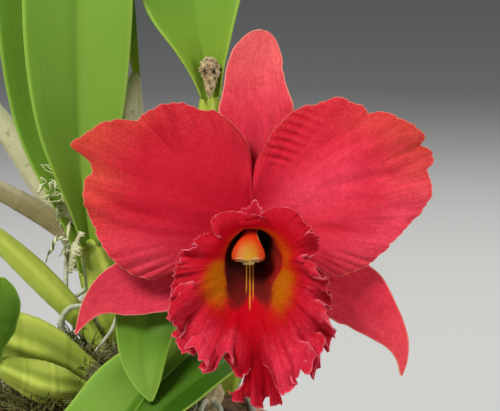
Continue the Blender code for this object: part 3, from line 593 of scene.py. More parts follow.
# The lip: how far its rim lies from the middle of the throat in mm, by the angle from straight down. Folds
# are where the limb laps over itself: (angle, width, overlap, step, start), with the lower angle in front
# where the step is above 0. Pinkness is how pink the limb is near its rim, by the angle
lip = {
    "rim": [
        (-197, 13.2), (-188, 13.6), (-180, 13.8), (-174, 14.1), (-165, 14.9), (-157, 16.0), (-145, 16.9),
        (-136, 16.7), (-132, 15.6), (-128, 13.6), (-124, 15.4), (-115, 17.0), (-105, 18.0), (-100, 19.9),
        (-95, 20.7), (-89, 22.1), (-83, 22.2), (-76, 23.0), (-69, 25.2), (-62, 27.3), (-57, 28.4),
        (-52, 29.3), (-47, 31.2), (-43, 31.2), (-38, 33.0), (-35, 31.4), (-30, 32.4), (-25, 33.7),
        (-21, 33.2), (-18.8, 31.6), (-17.2, 28.0), (-14.4, 28.6), (-11.5, 30.4), (-9, 31.8), (-6, 32.8),
        (-3.5, 32.0), (-1.5, 30.6), (1, 29.4), (5, 28.9), (8, 29.6), (10, 31.4), (11.3, 36.0), (13, 38.2),
        (17, 38), (21, 36.8), (24.5, 35.2), (27, 37.4), (30, 36.2), (34, 35), (37, 33.0), (41, 33.4),
        (45, 31.8), (49, 31.0), (55, 28.7), (60, 26.1), (68, 24.8), (75, 23.1), (82, 21.0), (86, 18.8),
        (91, 17.4), (95, 16.6), (100, 18.9), (109, 19.9), (119, 19.7), (128, 18.9), (135, 19.2),
        (144, 19.0), (151, 18.2), (160, 16.6), (167, 14.9), (174, 13.6), (180, 13.0), (190, 12.6),
        (200, 12.4),
    ],
    "throatCentre": (0.6, -3.4),
    "throat": [
        (-197, 12.9), (-188, 12.2), (-178, 11.2), (-168, 10.3), (-159, 9.8), (-145, 9.3), (-113, 8.6),
        (-90, 8.3), (-66, 9.0), (-54, 9.7), (-38, 11.4), (-20, 12.9), (0, 13.2), (15, 12.5), (27, 10.7),
        (42, 9.1), (60, 8.7), (75, 9.0), (111, 9.3), (136, 9.8), (165, 10.1), (188, 10.6), (200, 11.0),
    ],
    "throatDepth": 17.0,
    "tube": [
        (0.0, (0.3, 5.6), (0.3, 0.3), 2.4), (0.05, (0.3, 5.2), (3.4, 3.6), 2.8),
        (0.2, (0.4, 3.2), (5.0, 5.4), 8.0), (0.38, (0.6, -0.6), (6.6, 8.2), 13.2),
    ],
    "rows": 84,
    "columns": 560,
    "spacing": [(0, 0), (0.3, 0.53), (0.7, 0.84), (0.94, 0.982), (1, 1)],
    "thickness": 0.65,
    "folds": [
        (-129, 3.0, 2.0, 0.9, 0.3), (-108, 2.4, 1.6, -0.6, 0.7), (-90, 2.6, 1.9, 0.7, 0.65),
        (-69.5, 3.4, 3.4, -1.7, 0.3), (-57, 2.2, 2.2, -0.8, 0.72), (-47, 2.8, 2.8, 1.2, 0.62),
        (-36, 3.2, 3.6, -1.7, 0.48), (-25, 2.4, 2.8, 1.1, 0.7), (-13, 2.2, 2.8, 1.1, 0.7),
        (19, 2.4, 2.6, -1.0, 0.72), (31.5, 3.8, 3.6, 2.2, 0.45), (43, 2.4, 2.6, 1.1, 0.62),
        (52, 2.0, 2.2, -0.8, 0.72), (60, 2.8, 3.3, 1.5, 0.55), (69, 2.4, 2.2, -0.8, 0.6),
        (79, 3.2, 3.0, -1.5, 0.42), (97, 2.8, 3.2, 1.5, 0.32), (119, 2.6, 1.8, 0.7, 0.66),
    ],
    "flap": [
        (-10.6, 36.4), (-9.6, 37.6), (-7.5, 39.3), (-5, 39.6), (-2.6, 38.0), (0.3, 39.8), (2.5, 41.4),
        (4.8, 40.6), (6.2, 38.2), (8, 40.5), (10, 41.0), (12, 40.0), (13.5, 37.0), (15, 33.0),
    ],
    "pinkness": [
        (-180, 0.2), (-110, 0.25), (-95, 0.35), (-78, 0.5), (-63, 0.4), (-55, 0.6), (-47, 0.8), (-38, 0.95),
        (-27, 1.0), (-14, 1.0), (-8, 0.6), (-3, 0.1), (5, 0.1), (11, 0.7), (20, 1.0), (30, 0.95),
        (38, 0.65), (46, 0.5), (54, 0.6), (61, 0.85), (67, 0.7), (74, 0.5), (86, 0.5), (96, 0.4),
        (110, 0.25), (180, 0.2),
    ],
    "red": (0.47, 0.001, 0.008),
    # painted shade colour for the ruffles' troughs and under the folds
    "hollowShade": (0.27, 0.001, 0.008),
    # the limb's pink near the rim, pinker where it comes forward as a painted highlight
    "rosyAndHighlight": (0.86, 0.042, 0.088),
    "under": (0.56, 0.012, 0.035),
    "streak": (0.66, 0.25, 0.02),
    "line": (0.6, 0.25, 0.35),
    "grain": (0.7, 0.45, 0.5),
    # the deep throat is painted near black as shade, maroon where its walls show
    "dark": (0.026, 0.005, 0.004),
    "maroon": (0.24, 0.01, 0.008),
    "yellow": (0.42, 0.103, 0.001),
    "orange": (0.5, 0.04, 0.001),
    "pale": (0.88, 0.2, 0.25),
}


def lipMaterial():
    material, tree, shader = newMaterial("lipVelvet", 0.65, 0.03, 0.015, 0.06)
    shader.inputs["Subsurface Radius"].default_value = (1.0, 0.2, 0.15)
    shader.inputs["Sheen Tint"].default_value = (1, 0.55, 0.55, 1)
    # pink near the rim, pinker where the limb comes forward, as a painted highlight
    colour = layer(tree, lip["red"], "rosyAndHighlight", lip["rosyAndHighlight"])
    broad = times(tree, pattern(tree, (20, 4), 3, 0.6, 0.35, 0.65), "lines")
    colour = layer(tree, colour, broad, lip["red"], 0.6)
    lines = times(tree, pattern(tree, (70, 6), 4, 0.65, 0.60, 0.38), "lines")
    colour = layer(tree, colour, lines, lip["line"], 0.6, "MULTIPLY")
    shine = times(tree, pattern(tree, 520, 4, 0.7, 0.54, 0.74), "rosyAndHighlight")
    colour = layer(tree, colour, shine, lip["pale"], 0.45)
    # painted shade in the troughs and under the folds, then the orange
    for mask in ("hollowShade", "orange"):
        colour = layer(tree, colour, mask, lip[mask])
    fleck = pattern(tree, (90, 34), 4, 0.7, 0.42, 0.60)
    patch = rampNode(tree, plus(tree, "yellow", times(tree, fleck, 0.22)), 0.38, 0.92)
    colour = layer(tree, colour, patch, lip["yellow"])
    # painted shade in the deep throat: near black, maroon on its walls, broken by flecks at its edge
    shade = rampNode(tree, plus(tree, "dark", times(tree, fleck, "fringe")), 0.2, 0.8)
    colour = layer(tree, colour, shade, layer(tree, lip["dark"], "maroon", lip["maroon"]))
    for mask in ("streak", "under"):
        colour = layer(tree, colour, mask, lip[mask])
    colour = layer(tree, colour, pattern(tree, 1200, 2, 0.6, 0.62, 0.38), lip["grain"], 0.3, "MULTIPLY")
    # pale flecks at the rim's tips, and painted highlights along the folds' front edges
    colour = layer(tree, colour, times(tree, pattern(tree, 480, 2, 0.6, 0.3, 0.6, 0.25), "edge"), lip["pale"])
    height = plus(tree, noiseNode(tree, 1500, 2), times(tree, lines, -1.2))
    finishShader(tree, shader, colour, height, 0.5, 0.0003)
    return material


lipVelvet = lipMaterial()


def trough(phase):
    # 0 on a wave's crest and 1 at its lowest
    return 0.5 - 0.5 * np.sin(phase)


def ruffled(angle, limb):
    # how a ruffled limb moves at an angle in degrees: turned along the rim, and forward in mm. Two
    # wandering waves grow towards the rim, each leaning over itself, and at every fold the angle runs
    # back for a while as the depth steps, so that three layers lie over one another there, the front one
    # shorter than the others
    turn = np.radians(angle)
    lively = 1 - 0.78 * smoothStep(98, 132, np.abs(angle))
    slow = 9 * turn + 1.4 * wander(turn * 1.7, 9, 4)
    quick = 23 * turn + 2.2 * wander(turn * 2.3, 12, 4)
    tiny = 57 * turn + 3 * wander(turn * 3, 13, 4)
    pleat = 96 * turn + 4 * wander(turn * 3, 14, 4)
    uneven = 0.65 + 0.35 * wander(turn * 3, 15, 4)
    forward = 1.6 * np.sin(slow) * limb**1.4 + 1.7 * uneven * np.sin(quick) * limb**2
    forward = lively * (forward + 0.62 * np.sin(tiny) * uneven * limb**3 + 0.16 * np.sin(pleat) * limb**1.5)
    swing = -lively * uneven * (1.7 * np.sin(2 * quick) * limb**1.8 + 1.1 * np.sin(2 * tiny) * limb**3.5)
    # painted shade in the troughs of the waves and pleats; at each fold below, more behind its front layer
    # and less on that layer
    hollowShade = lively * (0.75 * trough(quick) * uneven * limb**1.4 + 0.5 * trough(tiny) * limb**2)
    hollowShade = hollowShade + 0.22 * trough(pleat) * limb
    # a painted highlight along the front edge of each fold
    creaseHighlight = 0 * limb
    shorter = 0.5 * lively * np.clip(np.sin(quick), 0, 1) ** 2 * limb**3
    for place, wide, overlap, step, start in lip["folds"]:
        x = (angle - place) / wide
        front = x * np.sign(step)
        much = min(1, abs(step))
        grown = smoothStep(start, start + 0.45 * (1.05 - start) + 0.10, limb)
        swing = swing - wide * overlap * x * hill(x) * grown
        forward = forward - 1.5 * step * np.tanh(1.6 * x) * hill(x, 0, 4.5) * grown
        creaseHighlight = np.maximum(creaseHighlight, hill(front, -0.62, 0.16) * grown * much)
        hollowShade = np.maximum(hollowShade, 0.95 * hill(front, 0.35, 0.75) * grown)
        hollowShade = hollowShade * (1 - 0.7 * hill(front, -1.2, 0.7) * grown)
        shorter = shorter + 0.9 * overlap * hill(front, -1, 0.9) * grown**2 * much
    return swing, forward, np.clip(hollowShade, 0, 1), creaseHighlight, np.minimum(shorter, 3.2)


def lipMesh():
    # a tube round the column that opens into a limb: rings run from the base through the throat to the
    # ruffled rim, which lies at its tabled distance for the angle where each point ends up
    share = smoothTable(lip["spacing"], np.linspace(0, 1, lip["rows"]))
    s, t = np.meshgrid(share, np.linspace(-1, 1, lip["columns"]), indexing="ij")
    limb = np.clip((s - 0.54) / 0.46, 0, 1)
    angle = 187 * t - 10 * limb * smoothStep(-0.86, -1, t) + 12 * smoothStep(0.86, 1, t)
    away = np.abs(angle)
    swing, forward, hollowShade, creaseHighlight, shorter = ruffled(angle, limb)
    turn, cloth = np.radians(angle + swing), np.radians(angle)
    across, down = np.sin(turn), -np.cos(turn)
    low = 0.5 + 0.5 * np.cos(turn)
    teeth = 0.25 * wander(cloth * 17, 5, 7) + 0.3 * wander(cloth * 48, 6, 6)
    teeth = teeth + 0.34 * wander(cloth * 105, 7, 6)
    calm = 1 - 0.75 * smoothStep(110, 135, away)
    rim = smoothTable(lip["rim"], angle + swing) + calm * (teeth * limb**3 - shorter)
    throat = smoothTable(lip["throat"], angle)
    middle = lip["throatCentre"]
    rings = list(lip["tube"])
    rings.append((0.54, middle, (throat, throat), lip["throatDepth"]))
    rings.append((0.77, middle, ((throat + rim) / 2, (throat + rim) / 2), 19.4 + 2.6 * low))
    rings.append((1.0, middle, (rim, rim), 20.0 + 0.8 * low))
    stops = [ring[0] for ring in rings]
    places = [np.stack([centre[0] + radii[0] * across, centre[1] + radii[1] * down, depth + 0 * s], -1)
              for _, centre, radii, depth in rings]
    point = 0
    for k in range(len(rings) - 1):  # the same curve as in smoothTable, with a table of its own on every ray
        before, beyond = max(k - 1, 0), min(k + 2, len(rings) - 1)
        width = stops[k + 1] - stops[k]
        slopeIn = (places[k + 1] - places[before]) / (stops[k + 1] - stops[before])
        slopeOut = (places[beyond] - places[k]) / (stops[beyond] - stops[k])
        f = np.clip((s - stops[k]) / width, 0, 1)[..., None]
        part = cubic(f, width, places[k], places[k + 1], slopeIn, slopeOut)
        point = np.where((s >= stops[k])[..., None], part, point)
    # the two ends lap over the column, the left one in front and the right one a little behind
    ends = smoothStep(160, 186, away) * np.sign(angle)
    point[..., 0] -= 0.03 * (point[..., 0] - middle[0]) * ends
    point[..., 1] -= 0.05 * (point[..., 1] - middle[1]) * ends * (1 - limb)
    forward = forward - 1.1 * hill(angle, 1.5, 9 - 3 * limb) * smoothStep(0.1, 0.5, limb)
    forward = forward - 0.6 * ends * (0.4 + 0.6 * limb)
    point[..., 2] += forward
    inner = smoothStep(0.50, 0.545, s)
    near = inner * (1 - smoothStep(0.08, 0.46, limb))
    left = hill(angle, -66, 33, 4) * inner * (1 - smoothStep(0.10, 0.36 + 0.28 * hill(angle, -66, 24), limb))
    sides = np.maximum(left, hill(angle, 53, 30, 4) * near)
    tail = hill(angle, 98, 34) * near
    glow = smoothStep(96, 118, away) * smoothStep(0.45, 0.5, s) * (0.55 + 0.45 * (angle > 0))
    glow = glow * (1 - smoothStep(0.02, 0.22, limb))
    streaks = 0
    for offset, wide, reach in ((-1.05, 0.15, 0.47), (-0.05, 0.20, 0.56), (0.90, 0.15, 0.50)):
        streaks = streaks + hill(point[..., 0], offset, wide) * (1 - smoothStep(reach - 0.05, reach, s))
    floor, keel = hill(angle, 0, 40, 4), hill(angle, 0, 14)
    # painted shade of the deep throat: dark up to about its rim, a little further on the floor and less on
    # the keel; maroon on its walls, most on the right
    darkEnd = 0.515 + 0.05 * floor - 0.10 * keel
    dark = 1 - smoothStep(darkEnd - 0.02 - 0.05 * floor, darkEnd + 0.02 + 0.03 * floor, s)
    maroon = (0.15 + 0.85 * smoothStep(20, 60, angle)) * smoothStep(0.22, 0.5, s)
    pinkness = smoothStep(0.24, 0.66, limb) * smoothTable(lip["pinkness"], angle)
    tips = smoothStep(0.988, 0.998, s) * (0.7 + 0.3 * wander(turn * 9, 17, 5))
    masks = {
        # pink towards the rim by the angle, more where the limb comes forward, as a painted highlight
        "rosyAndHighlight": pinkness * (0.66 + 0.6 * limb * np.clip(0.5 + forward / 4, 0, 1)),
        "yellow": np.maximum(sides, 0.5 * tail) * 0.95,
        # painted shade, a little less near the rim
        "hollowShade": hollowShade * (0.46 - 0.16 * smoothStep(0.7, 1, limb)),
        "orange": 0.9 * glow + 0.75 * sides + 0.6 * tail,
        "dark": dark * (1 - 0.7 * glow),
        "maroon": maroon + 0.45 * floor * smoothStep(0.30, 0.55, s),
        "fringe": 0.75 * hill(s, darkEnd + 0.01, 0.04) * (0.45 + 0.55 * low) * (1 - keel),
        "streak": streaks * (away < 60) * smoothStep(0.18, 0.28, s),
        "lines": smoothStep(0.12, 0.55, limb) * (0.15 + 0.7 * low),
        # pale at the rim's tips, with a painted highlight along each fold's front edge
        "edge": np.minimum(tips + creaseHighlight * smoothStep(0.25, 0.7, limb), 0.95),
    }
    thickness = lip["thickness"] * mm * (0.5 + 0.5 * smoothStep(0, 0.12, 1 - s))
    grid = bloomPoint(point[..., 0], point[..., 1], point[..., 2])
    return sheetMesh("lipLimb", grid, thickness, masks, np.stack([cloth / 2, s], -1))


addPiece("lipLimb", lipMesh(), lipVelvet, ["lip"])

# The lowest part of the limb hangs behind the two front lobes, and a small curl stands at the top
lipFlap = {"rows": 60, "columns": 90, "thickness": 0.5, "inner": 25.5}
lipCurl = {"rows": 60, "columns": 26, "thickness": 0.5, "foot": 8.4}


def redMasks(rosyAndHighlight, lines, edge):
    blank = {mask: 0 for mask in ("yellow", "orange", "dark", "maroon", "fringe", "streak")}
    # painted shade where the sheet is least rosy
    return {"rosyAndHighlight": rosyAndHighlight, "lines": lines, "edge": edge, "hollowShade": 0.4 - 0.4 * rosyAndHighlight, **blank}


def flapMesh():
    # rays from the throat's middle to the tabled rim, sinking back towards it and frilled there
    s, t = sheetShares(lipFlap["rows"], lipFlap["columns"])
    angle = 4 - 2 * s + t * (9.5 - 3.5 * np.sin(np.pi * s) + 2.6 * s**1.3)
    cloth = np.radians(angle)
    frill = np.sin(46.2 * cloth + 1.2) + 0.5 * np.sin(100 * cloth)
    turn = np.radians(angle - 1.3 * np.sin(92 * cloth) * s**2)
    rim = smoothTable(lip["flap"], angle) + 0.3 * wander(turn * 70, 31, 6) * s**2
    reach = lipFlap["inner"] + (rim - lipFlap["inner"]) * s
    right = lip["throatCentre"][0] + reach * np.sin(turn)
    up = lip["throatCentre"][1] - reach * np.cos(turn)
    forward = 19.3 - 1.2 * s - 1.6 * s * s + 0.85 * frill * smoothStep(0.3, 1, s)
    forward = forward + 0.15 * wander(turn * 60, 33, 5) * s
    edge = np.maximum(smoothStep(0.965, 0.99, s), smoothStep(0.97, 1, np.abs(t))) * 0.55
    # rosier towards the rim and on the frills' crests as a painted highlight, with painted shade where less
    # rosy
    masks = redMasks(np.clip(0.05 + (0.4 + 0.3 * frill) * s**3, 0, 1), 0.7, edge)
    uv = np.stack([cloth / 2, 0.5 + s / 2], -1)
    return sheetMesh("lipFlap", bloomPoint(right, up, forward), lipFlap["thickness"] * mm, masks, uv)


def curlMesh():
    # a short tongue whose middle rises to a fold and whose two ends lie back on the lip
    u, v = sheetShares(lipCurl["rows"], lipCurl["columns"])
    v = (v + 1) / 2
    right = -3.6 + 7.0 * u + 0.35 * np.sin(19 * u) * v
    top = 10.9 + 1.5 * smoothStep(0.05, 0.4, u) + 2.1 * hill(u, 0.72, 0.14) + 0.3 * np.sin(31 * u) * v
    up = lipCurl["foot"] + (top - lipCurl["foot"]) * v
    forward = 17.0 + 1.5 * v - 1.6 * v * v + 0.7 * np.sin(13 * u + 1) * v
    edge = np.maximum(smoothStep(0.90, 0.97, v), 1 - smoothStep(0.0, 0.05, np.minimum(u, 1 - u))) * 0.85
    return sheetMesh("lipCurl", bloomPoint(right, up, forward), lipCurl["thickness"] * mm,
                     redMasks(0.4 + 0.6 * v, 0.5, edge), np.stack([u * 0.4, v], -1), True)


addPiece("lipFlap", flapMesh(), lipVelvet)
addPiece("lipCurl", curlMesh(), lipVelvet)
print("stage 4: the lip is made")

# The column over the throat, its toothed tip and its pale cap
column = {
    "path": [(0.3, 7.6, 2.8), (0.2, 7.3, 8.0), (0.1, 5.6, 13.2), (-0.4, 1.4, 17.2), (-0.5, -2.2, 18.6)],
    "widths": [(0, 1.4), (0.3, 1.5), (0.5, 1.6), (0.66, 2.5), (0.8, 3.8), (0.92, 4.7), (1, 4.7)],
    "rows": 60,
    "sides": 56,
    "top": (0.7, 0.024, 0.008),
    "middle": (0.52, 0.045, 0.004),
    "tip": (0.47, 0.25, 0.014),
    "teeth": (0.76, 0.56, 0.28),
}


def columnMaterial():
    material, tree, shader = newMaterial("columnWax", 0.5, 0.12, 0, 0.1)
    shader.inputs["Subsurface Radius"].default_value = (1.0, 0.4, 0.1)
    colour = layer(tree, column["top"], "middle", column["middle"])
    colour = layer(tree, colour, "tip", column["tip"])
    colour = layer(tree, colour, pattern(tree, 420, 2, 0.55, 0.4, 0.7), column["top"], 0.25)
    # the pale teeth, and a painted highlight line along the column's upper shoulder in their colour
    colour = layer(tree, colour, "teeth", column["teeth"])
    finishShader(tree, shader, colour, noiseNode(tree, 900, 2), 0.15, 0.0002)
    return material


columnWax = columnMaterial()


def columnMesh():
    # rings square to a path that bends forward and down: wide and flat, hooded at the open tip
    s, t = tubeShares(column["rows"], column["sides"])
    place, along, side, back = frameAlong(column["path"], s, (0, 1, 0))
    turn = 2 * np.pi * t - np.pi
    radius = smoothTable(column["widths"], s)
    x = np.cos(turn)
    y = np.sin(turn) * np.where(np.sin(turn) > 0, 0.55, 0.30) * (1 - 0.25 * s)
    lobes = smoothStep(0.8, 1, s) * (1.25 * (1 - np.abs(x) ** 2.4) - 0.5 * hill(np.abs(x), 0.45, 0.2))
    jag = smoothStep(0.94, 1, s) * (0.16 * np.sin(turn * 19) + 0.12 * np.sin(turn * 31 + 1))
    point = place + side * (x * radius)[..., None] + back * (y * radius)[..., None]
    point = point + along * (lobes + jag)[..., None]
    rings = bloomPoint(point[..., 0], point[..., 1], point[..., 2])
    # two more rings turn the open tip in and back up inside
    middle, before = rings[-1].mean(0), rings[-4].mean(0)
    deep = rings[-1] * 0.55 + middle * 0.45 + (before - middle) * 0.8
    rings = np.concatenate([rings, (rings[-1] * 0.8 + middle * 0.2)[None], deep[None]])
    # a painted highlight line along the column's upper shoulder, part way up
    ridgeHighlight = smoothStep(0.88, 0.97, -x) * window(s, 0.44, 0.52, 0.70, 0.78)
    ridgeHighlight = np.concatenate([0.9 * ridgeHighlight, 0 * ridgeHighlight[:2]])
    s, t, x = (np.concatenate([v, v[-1:], v[-1:]]) for v in (s, 2 * t - 1, np.abs(x)))
    masks = {
        "middle": smoothStep(0.55, 0.9, s),
        "tip": smoothStep(0.70, 0.97, s) * np.clip(1 - (x / 0.75) ** 2, 0, 1),
        "teeth": np.maximum(0.8 * smoothStep(0.975, 0.998, s) * hill(x, 0.45, 0.28), ridgeHighlight),
    }
    return bodyMesh("columnHood", rings, masks, np.stack([t, s], -1))


addPiece("columnHood", columnMesh(), columnWax, ["column"])
capWax = plainMaterial("capWax", (0.42, 0.28, 0.05), (0.62, 0.46, 0.14), 700, 0.4, soft=0.1)


def ballMesh(name, centre, size, squash=0.0):
    # a round body from its polar angle and its turn, given a middle and half sizes in the bloom's plane
    s, t = tubeShares(20, 28)
    polar, turn = np.pi * (0.02 + 0.96 * s), -2 * np.pi * t
    right = centre[0] + size[0] * np.sin(polar) * np.cos(turn)
    up = centre[1] + size[1] * np.sin(polar) * np.sin(turn) - squash * np.cos(2 * turn) * np.sin(polar)
    forward = centre[2] + size[2] * np.cos(polar)
    return bodyMesh(name, bloomPoint(right, up, forward), {}, np.stack([t, s], -1))


addPiece("antherCap", ballMesh("antherCap", (-0.4, -3.3, 18.2), (1.7, 0.9, 0.9), 0.15), capWax,
         ["anther_cap"])
addPiece("bloomHub", ballMesh("bloomHub", (0.3, 7.25, 1.9), (3.5, 3.5, 1.5)), petalVelvet)
print("stage 5: the column is made")

# The heap of bark, and the creeping stem's lines over it, in mm from the pot's middle
heap = {"top": 110, "fall": 21, "reach": 52, "stemLift": 3.2, "skin": 3.95, "rim": 54.0}
stemLines = [
    [(-5, 40), (2, 31), (5, 22), (6, 12), (4, 2), (2, -8), (0, -18), (-5, -30)],
    [(5, 22), (13, 18), (20, 8), (23, -4), (27, -16), (29, -25)], [(5, 22), (10, 30), (15, 37)],
]


def heapHeight(x, y):
    return heap["top"] - heap["fall"] * np.minimum((x * x + y * y) / heap["reach"] ** 2, 1.3)


# Pseudobulbs: foot on the creeping stem, the path up from there, widest radius, furrows; tone runs
# from dark green 0 to yellow green 1, dry is how much of it is straw, rings are its node scars
bulbs = {
    "bulb_bloom": {"foot": (24, -8), "path": [(28, -15, 128), (30, -21, 145)], "radius": 5.2, "tone": 0.5},
    "bulb_low": {"foot": (28, -21), "path": [(29, -25, 119), (29, -29, 126)], "radius": 4.2, "tone": 0.5},
    "bulb_low_right": {
        "foot": (26.5, -15), "path": [(37, -20, 112), (40, -28, 120)], "radius": 4.0, "tone": 0.4,
    },
    "bulb_behind_bloom": {
        "foot": (20, 7), "path": [(27, 9, 150), (31.7, 10, 199)], "radius": 5.8, "tone": 0.8,
    },
    "bulb_tall_leaf": {"foot": (4, 3), "path": [(-1, 3, 134), (-7, 4, 153)], "radius": 6.2, "tone": 0.9},
    "bulb_left_leaf": {"foot": (6, 13), "path": [(-3, 16, 128), (-9, 17, 142)], "radius": 5.2, "tone": 0.7},
    # this bulb is painted fully pale: its papery scale's colour, raised as painted light where the tall leaf
    # shades it
    "bulb_sheathed": {
        "foot": (12, 19), "path": [(8, 23, 160), (5.4, 24.6, 190), (7.2, 25.5, 205)], "radius": 5.2,
        "tone": 0.5, "dry": 0.95, "grey": 0.95, "ribs": 0.03, "fibre": 0.35, "rings": (), "pale": 1.0,
        "profile": [(0, 0.5), (0.2, 0.8), (0.5, 1), (0.76, 0.97), (0.86, 0.8), (0.94, 0.52), (1, 0.15)],
    },
    "bulb_fat": {
        "foot": (0, -17), "path": [(-18, -19, 122), (-36, -21, 130), (-49, -22, 139)], "radius": 7.6,
        "tone": 1.2, "ribs": 0.08, "rings": (), "scar": 1.0,
    },
    "bulb_lowest": {
        "foot": (-2.5, -24), "path": [(-14, -31, 113), (-24, -34, 117), (-32, -37, 121)], "radius": 6.0,
        "tone": 1.2, "ribs": 0.08, "rings": (),
    },
    "bulb_slender": {
        "foot": (2, -6), "path": [(-10.6, -5, 130), (-33.4, -5, 153), (-48, -5, 164)], "radius": 4.15,
        "tone": 1.15, "ribs": 0.02, "rings": (0.29, 0.305),
    },
    "bulb_old_brown": {
        "foot": (5, 22), "path": [(-6, 27, 142), (-14, 26, 151), (-36, 19, 166), (-60, 13, 177)],
        "radius": 3.6, "tone": 0.2, "dry": 0.95, "grey": 0.15, "fibre": 0.25, "rings": (0.47, 0.66, 0.86),
    },
    "bulb_old_grey": {
        "foot": (2, 31), "path": [(-9, 36, 140), (-28, 37, 173), (-52, 41, 204)], "radius": 5.2,
        "tone": 0.4, "dry": 0.95, "grey": 0.9, "fibre": 0.12, "rings": (0.3,), "pale": 0.5,
    },
    "bulb_right": {"foot": (15, 16), "path": [(26, 26, 134), (38, 34, 150)], "radius": 5.2, "tone": 0.6},
    "bulb_back": {"foot": (-4, 38), "path": [(0, 49, 132), (2, 55, 150)], "radius": 5.6, "tone": 0.6},
    "bulb_back_low": {"foot": (14, 36), "path": [(18, 41, 128), (20, 45, 140)], "radius": 5.0, "tone": 0.5},
}
bulbLook = {
    "dark": (0.075, 0.13, 0.008),
    "green": (0.28, 0.38, 0.025),
    "yellow": (0.56, 0.67, 0.105),
    "straw": (0.36, 0.28, 0.12),
    "grey": (0.40, 0.40, 0.20),
    "scale": (0.74, 0.72, 0.44),
    "brown": (0.10, 0.075, 0.03),
    "node": (0.15, 0.14, 0.03),
    "profile": [(0, 0.42), (0.12, 0.6), (0.35, 0.95), (0.55, 1), (0.78, 0.78), (0.93, 0.62), (0.98, 0.52),
                (1, 0.28)],
    "ribs": 0.055,
    "rows": 80,
    "sides": 40,
}


def bulbMaterial():
    look = bulbLook
    material, tree, shader = newMaterial("bulbSkin", 0.45, 0.25, 0, 0.04)
    colour = layer(tree, look["green"], "furrow", look["dark"])
    colour = layer(tree, colour, "tone", look["yellow"])
    # blotches fade out on the yellow bulbs
    blotch = times(tree, pattern(tree, 130, 4, 0.55, 0.38, 0.68), mathNode(tree, "SUBTRACT", 1.0, "tone"))
    colour = layer(tree, colour, blotch, look["green"])
    husk = layer(tree, look["straw"], "grey", look["grey"])
    husk = layer(tree, husk, "pale", look["scale"])
    fibre = noiseNode(tree, (42, 4), 5, 0.65)
    husk = layer(tree, husk, times(tree, rampNode(tree, fibre, 0.6, 0.35), "fibre"), look["brown"])
    husk = layer(tree, husk, times(tree, rampNode(tree, fibre, 0.56, 0.72), "fibre"), look["scale"])
    husk = layer(tree, husk, pattern(tree, 90, 4, 0.6, 0.35, 0.7), look["scale"], 0.35)
    husk = layer(tree, husk, pattern(tree, 300, 4, 0.7, 0.60, 0.68), look["brown"], 0.5)
    patch = plus(tree, "dry", times(tree, noiseNode(tree, 170, 4, 0.7), 0.6))
    colour = layer(tree, colour, rampNode(tree, patch, 0.72, 0.86), husk)
    scar = plus(tree, "scar", times(tree, noiseNode(tree, 620, 4, 0.75), 0.7))
    colour = layer(tree, colour, rampNode(tree, scar, 0.88, 1.0), look["scale"])
    colour = layer(tree, colour, "node", look["node"])
    height = plus(tree, noiseNode(tree, 500, 3), times(tree, fibre, "fibre"))
    finishShader(tree, shader, colour, height, 0.35, 0.0004)
    return material


bulbSkin = bulbMaterial()


def bulbPath(shape):
    # from the creeping stem's skin above the foot, through the tabled points
    x, y = shape["foot"]
    foot = np.array((x, y, heapHeight(x, y) + heap["stemLift"]), float)
    first = np.array(shape["path"][0], float)
    return [tuple(foot + unit(first - foot) * heap["skin"]), *shape["path"]]


def bulbMesh(name, shape, seed):
    # rings along the path: the radius swells and narrows, furrows run lengthwise and fade at both
    # ends, node scars are narrow raised rings and dry husks are wrinkled
    s, t = tubeShares(bulbLook["rows"], bulbLook["sides"])
    dry, ribs = shape.get("dry", 0), shape.get("ribs", bulbLook["ribs"])
    turn = 2 * np.pi * t
    mid = np.sin(np.pi * np.clip(s, 0.02, 0.98)) ** 0.7
    furrows = np.cos(5 * turn + 0.9 * s + seed) + 0.45 * np.cos(9 * turn + 2 * seed - 1.5 * s)
    rings = 0 * s
    for place in shape.get("rings", (0.93,)):
        rings = rings + hill(s, place + 0.004 * np.sin(2 * turn), 0.007)
    profile = smoothTable(shape.get("profile", bulbLook["profile"]), s)
    radius = profile * (1 + ribs * furrows * mid + 0.05 * rings)
    radius = radius + dry * 0.035 * wander(turn * 4 + 5 * s, seed, 6)
    radius = radius + 0.012 * wander(s * 20 + turn, seed + 1, 5)
    base = 1 - smoothStep(0.04, 0.13 + 0.03 * np.sin(3 * turn + seed), s)
    points = tubeRings(bulbPath(shape), (radius + 0.05 * base) * shape["radius"])
    ripe = 0.72 + 0.28 * smoothStep(0.22, 0.42, s)
    ribbed = min(1, ribs / bulbLook["ribs"])
    scar = shape.get("scar", 0) * hill(t, 0.27 + 0.05 * np.sin(9 * s), 0.05)
    masks = {
        "furrow": np.clip(0.5 - 0.55 * furrows, 0, 1) * mid * (0.4 if dry else 0.9) * ribbed,
        "tone": shape["tone"] * (0.85 - 0.5 * ribbed * np.clip(0.5 - 0.6 * furrows, 0, 1)) * ripe,
        "dry": np.maximum(dry * (0.75 + 0.25 * mid), 0.62 * base),
        "grey": shape.get("grey", 0.35),
        "scar": scar * window(s, 0.1, 0.3, 0.75, 0.9),
        "node": np.clip(rings, 0, 1) * (0.3 if dry else 0.55),
        "fibre": shape.get("fibre", 0.5),
        "pale": shape.get("pale", 0),
    }
    return bodyMesh(name, points, masks, np.stack([t, s], -1))


for seed, (name, shape) in enumerate(bulbs.items()):
    dressNode(name, bulbMesh(name, shape, seed), bulbSkin)
print("stage 6: the pseudobulbs are made")
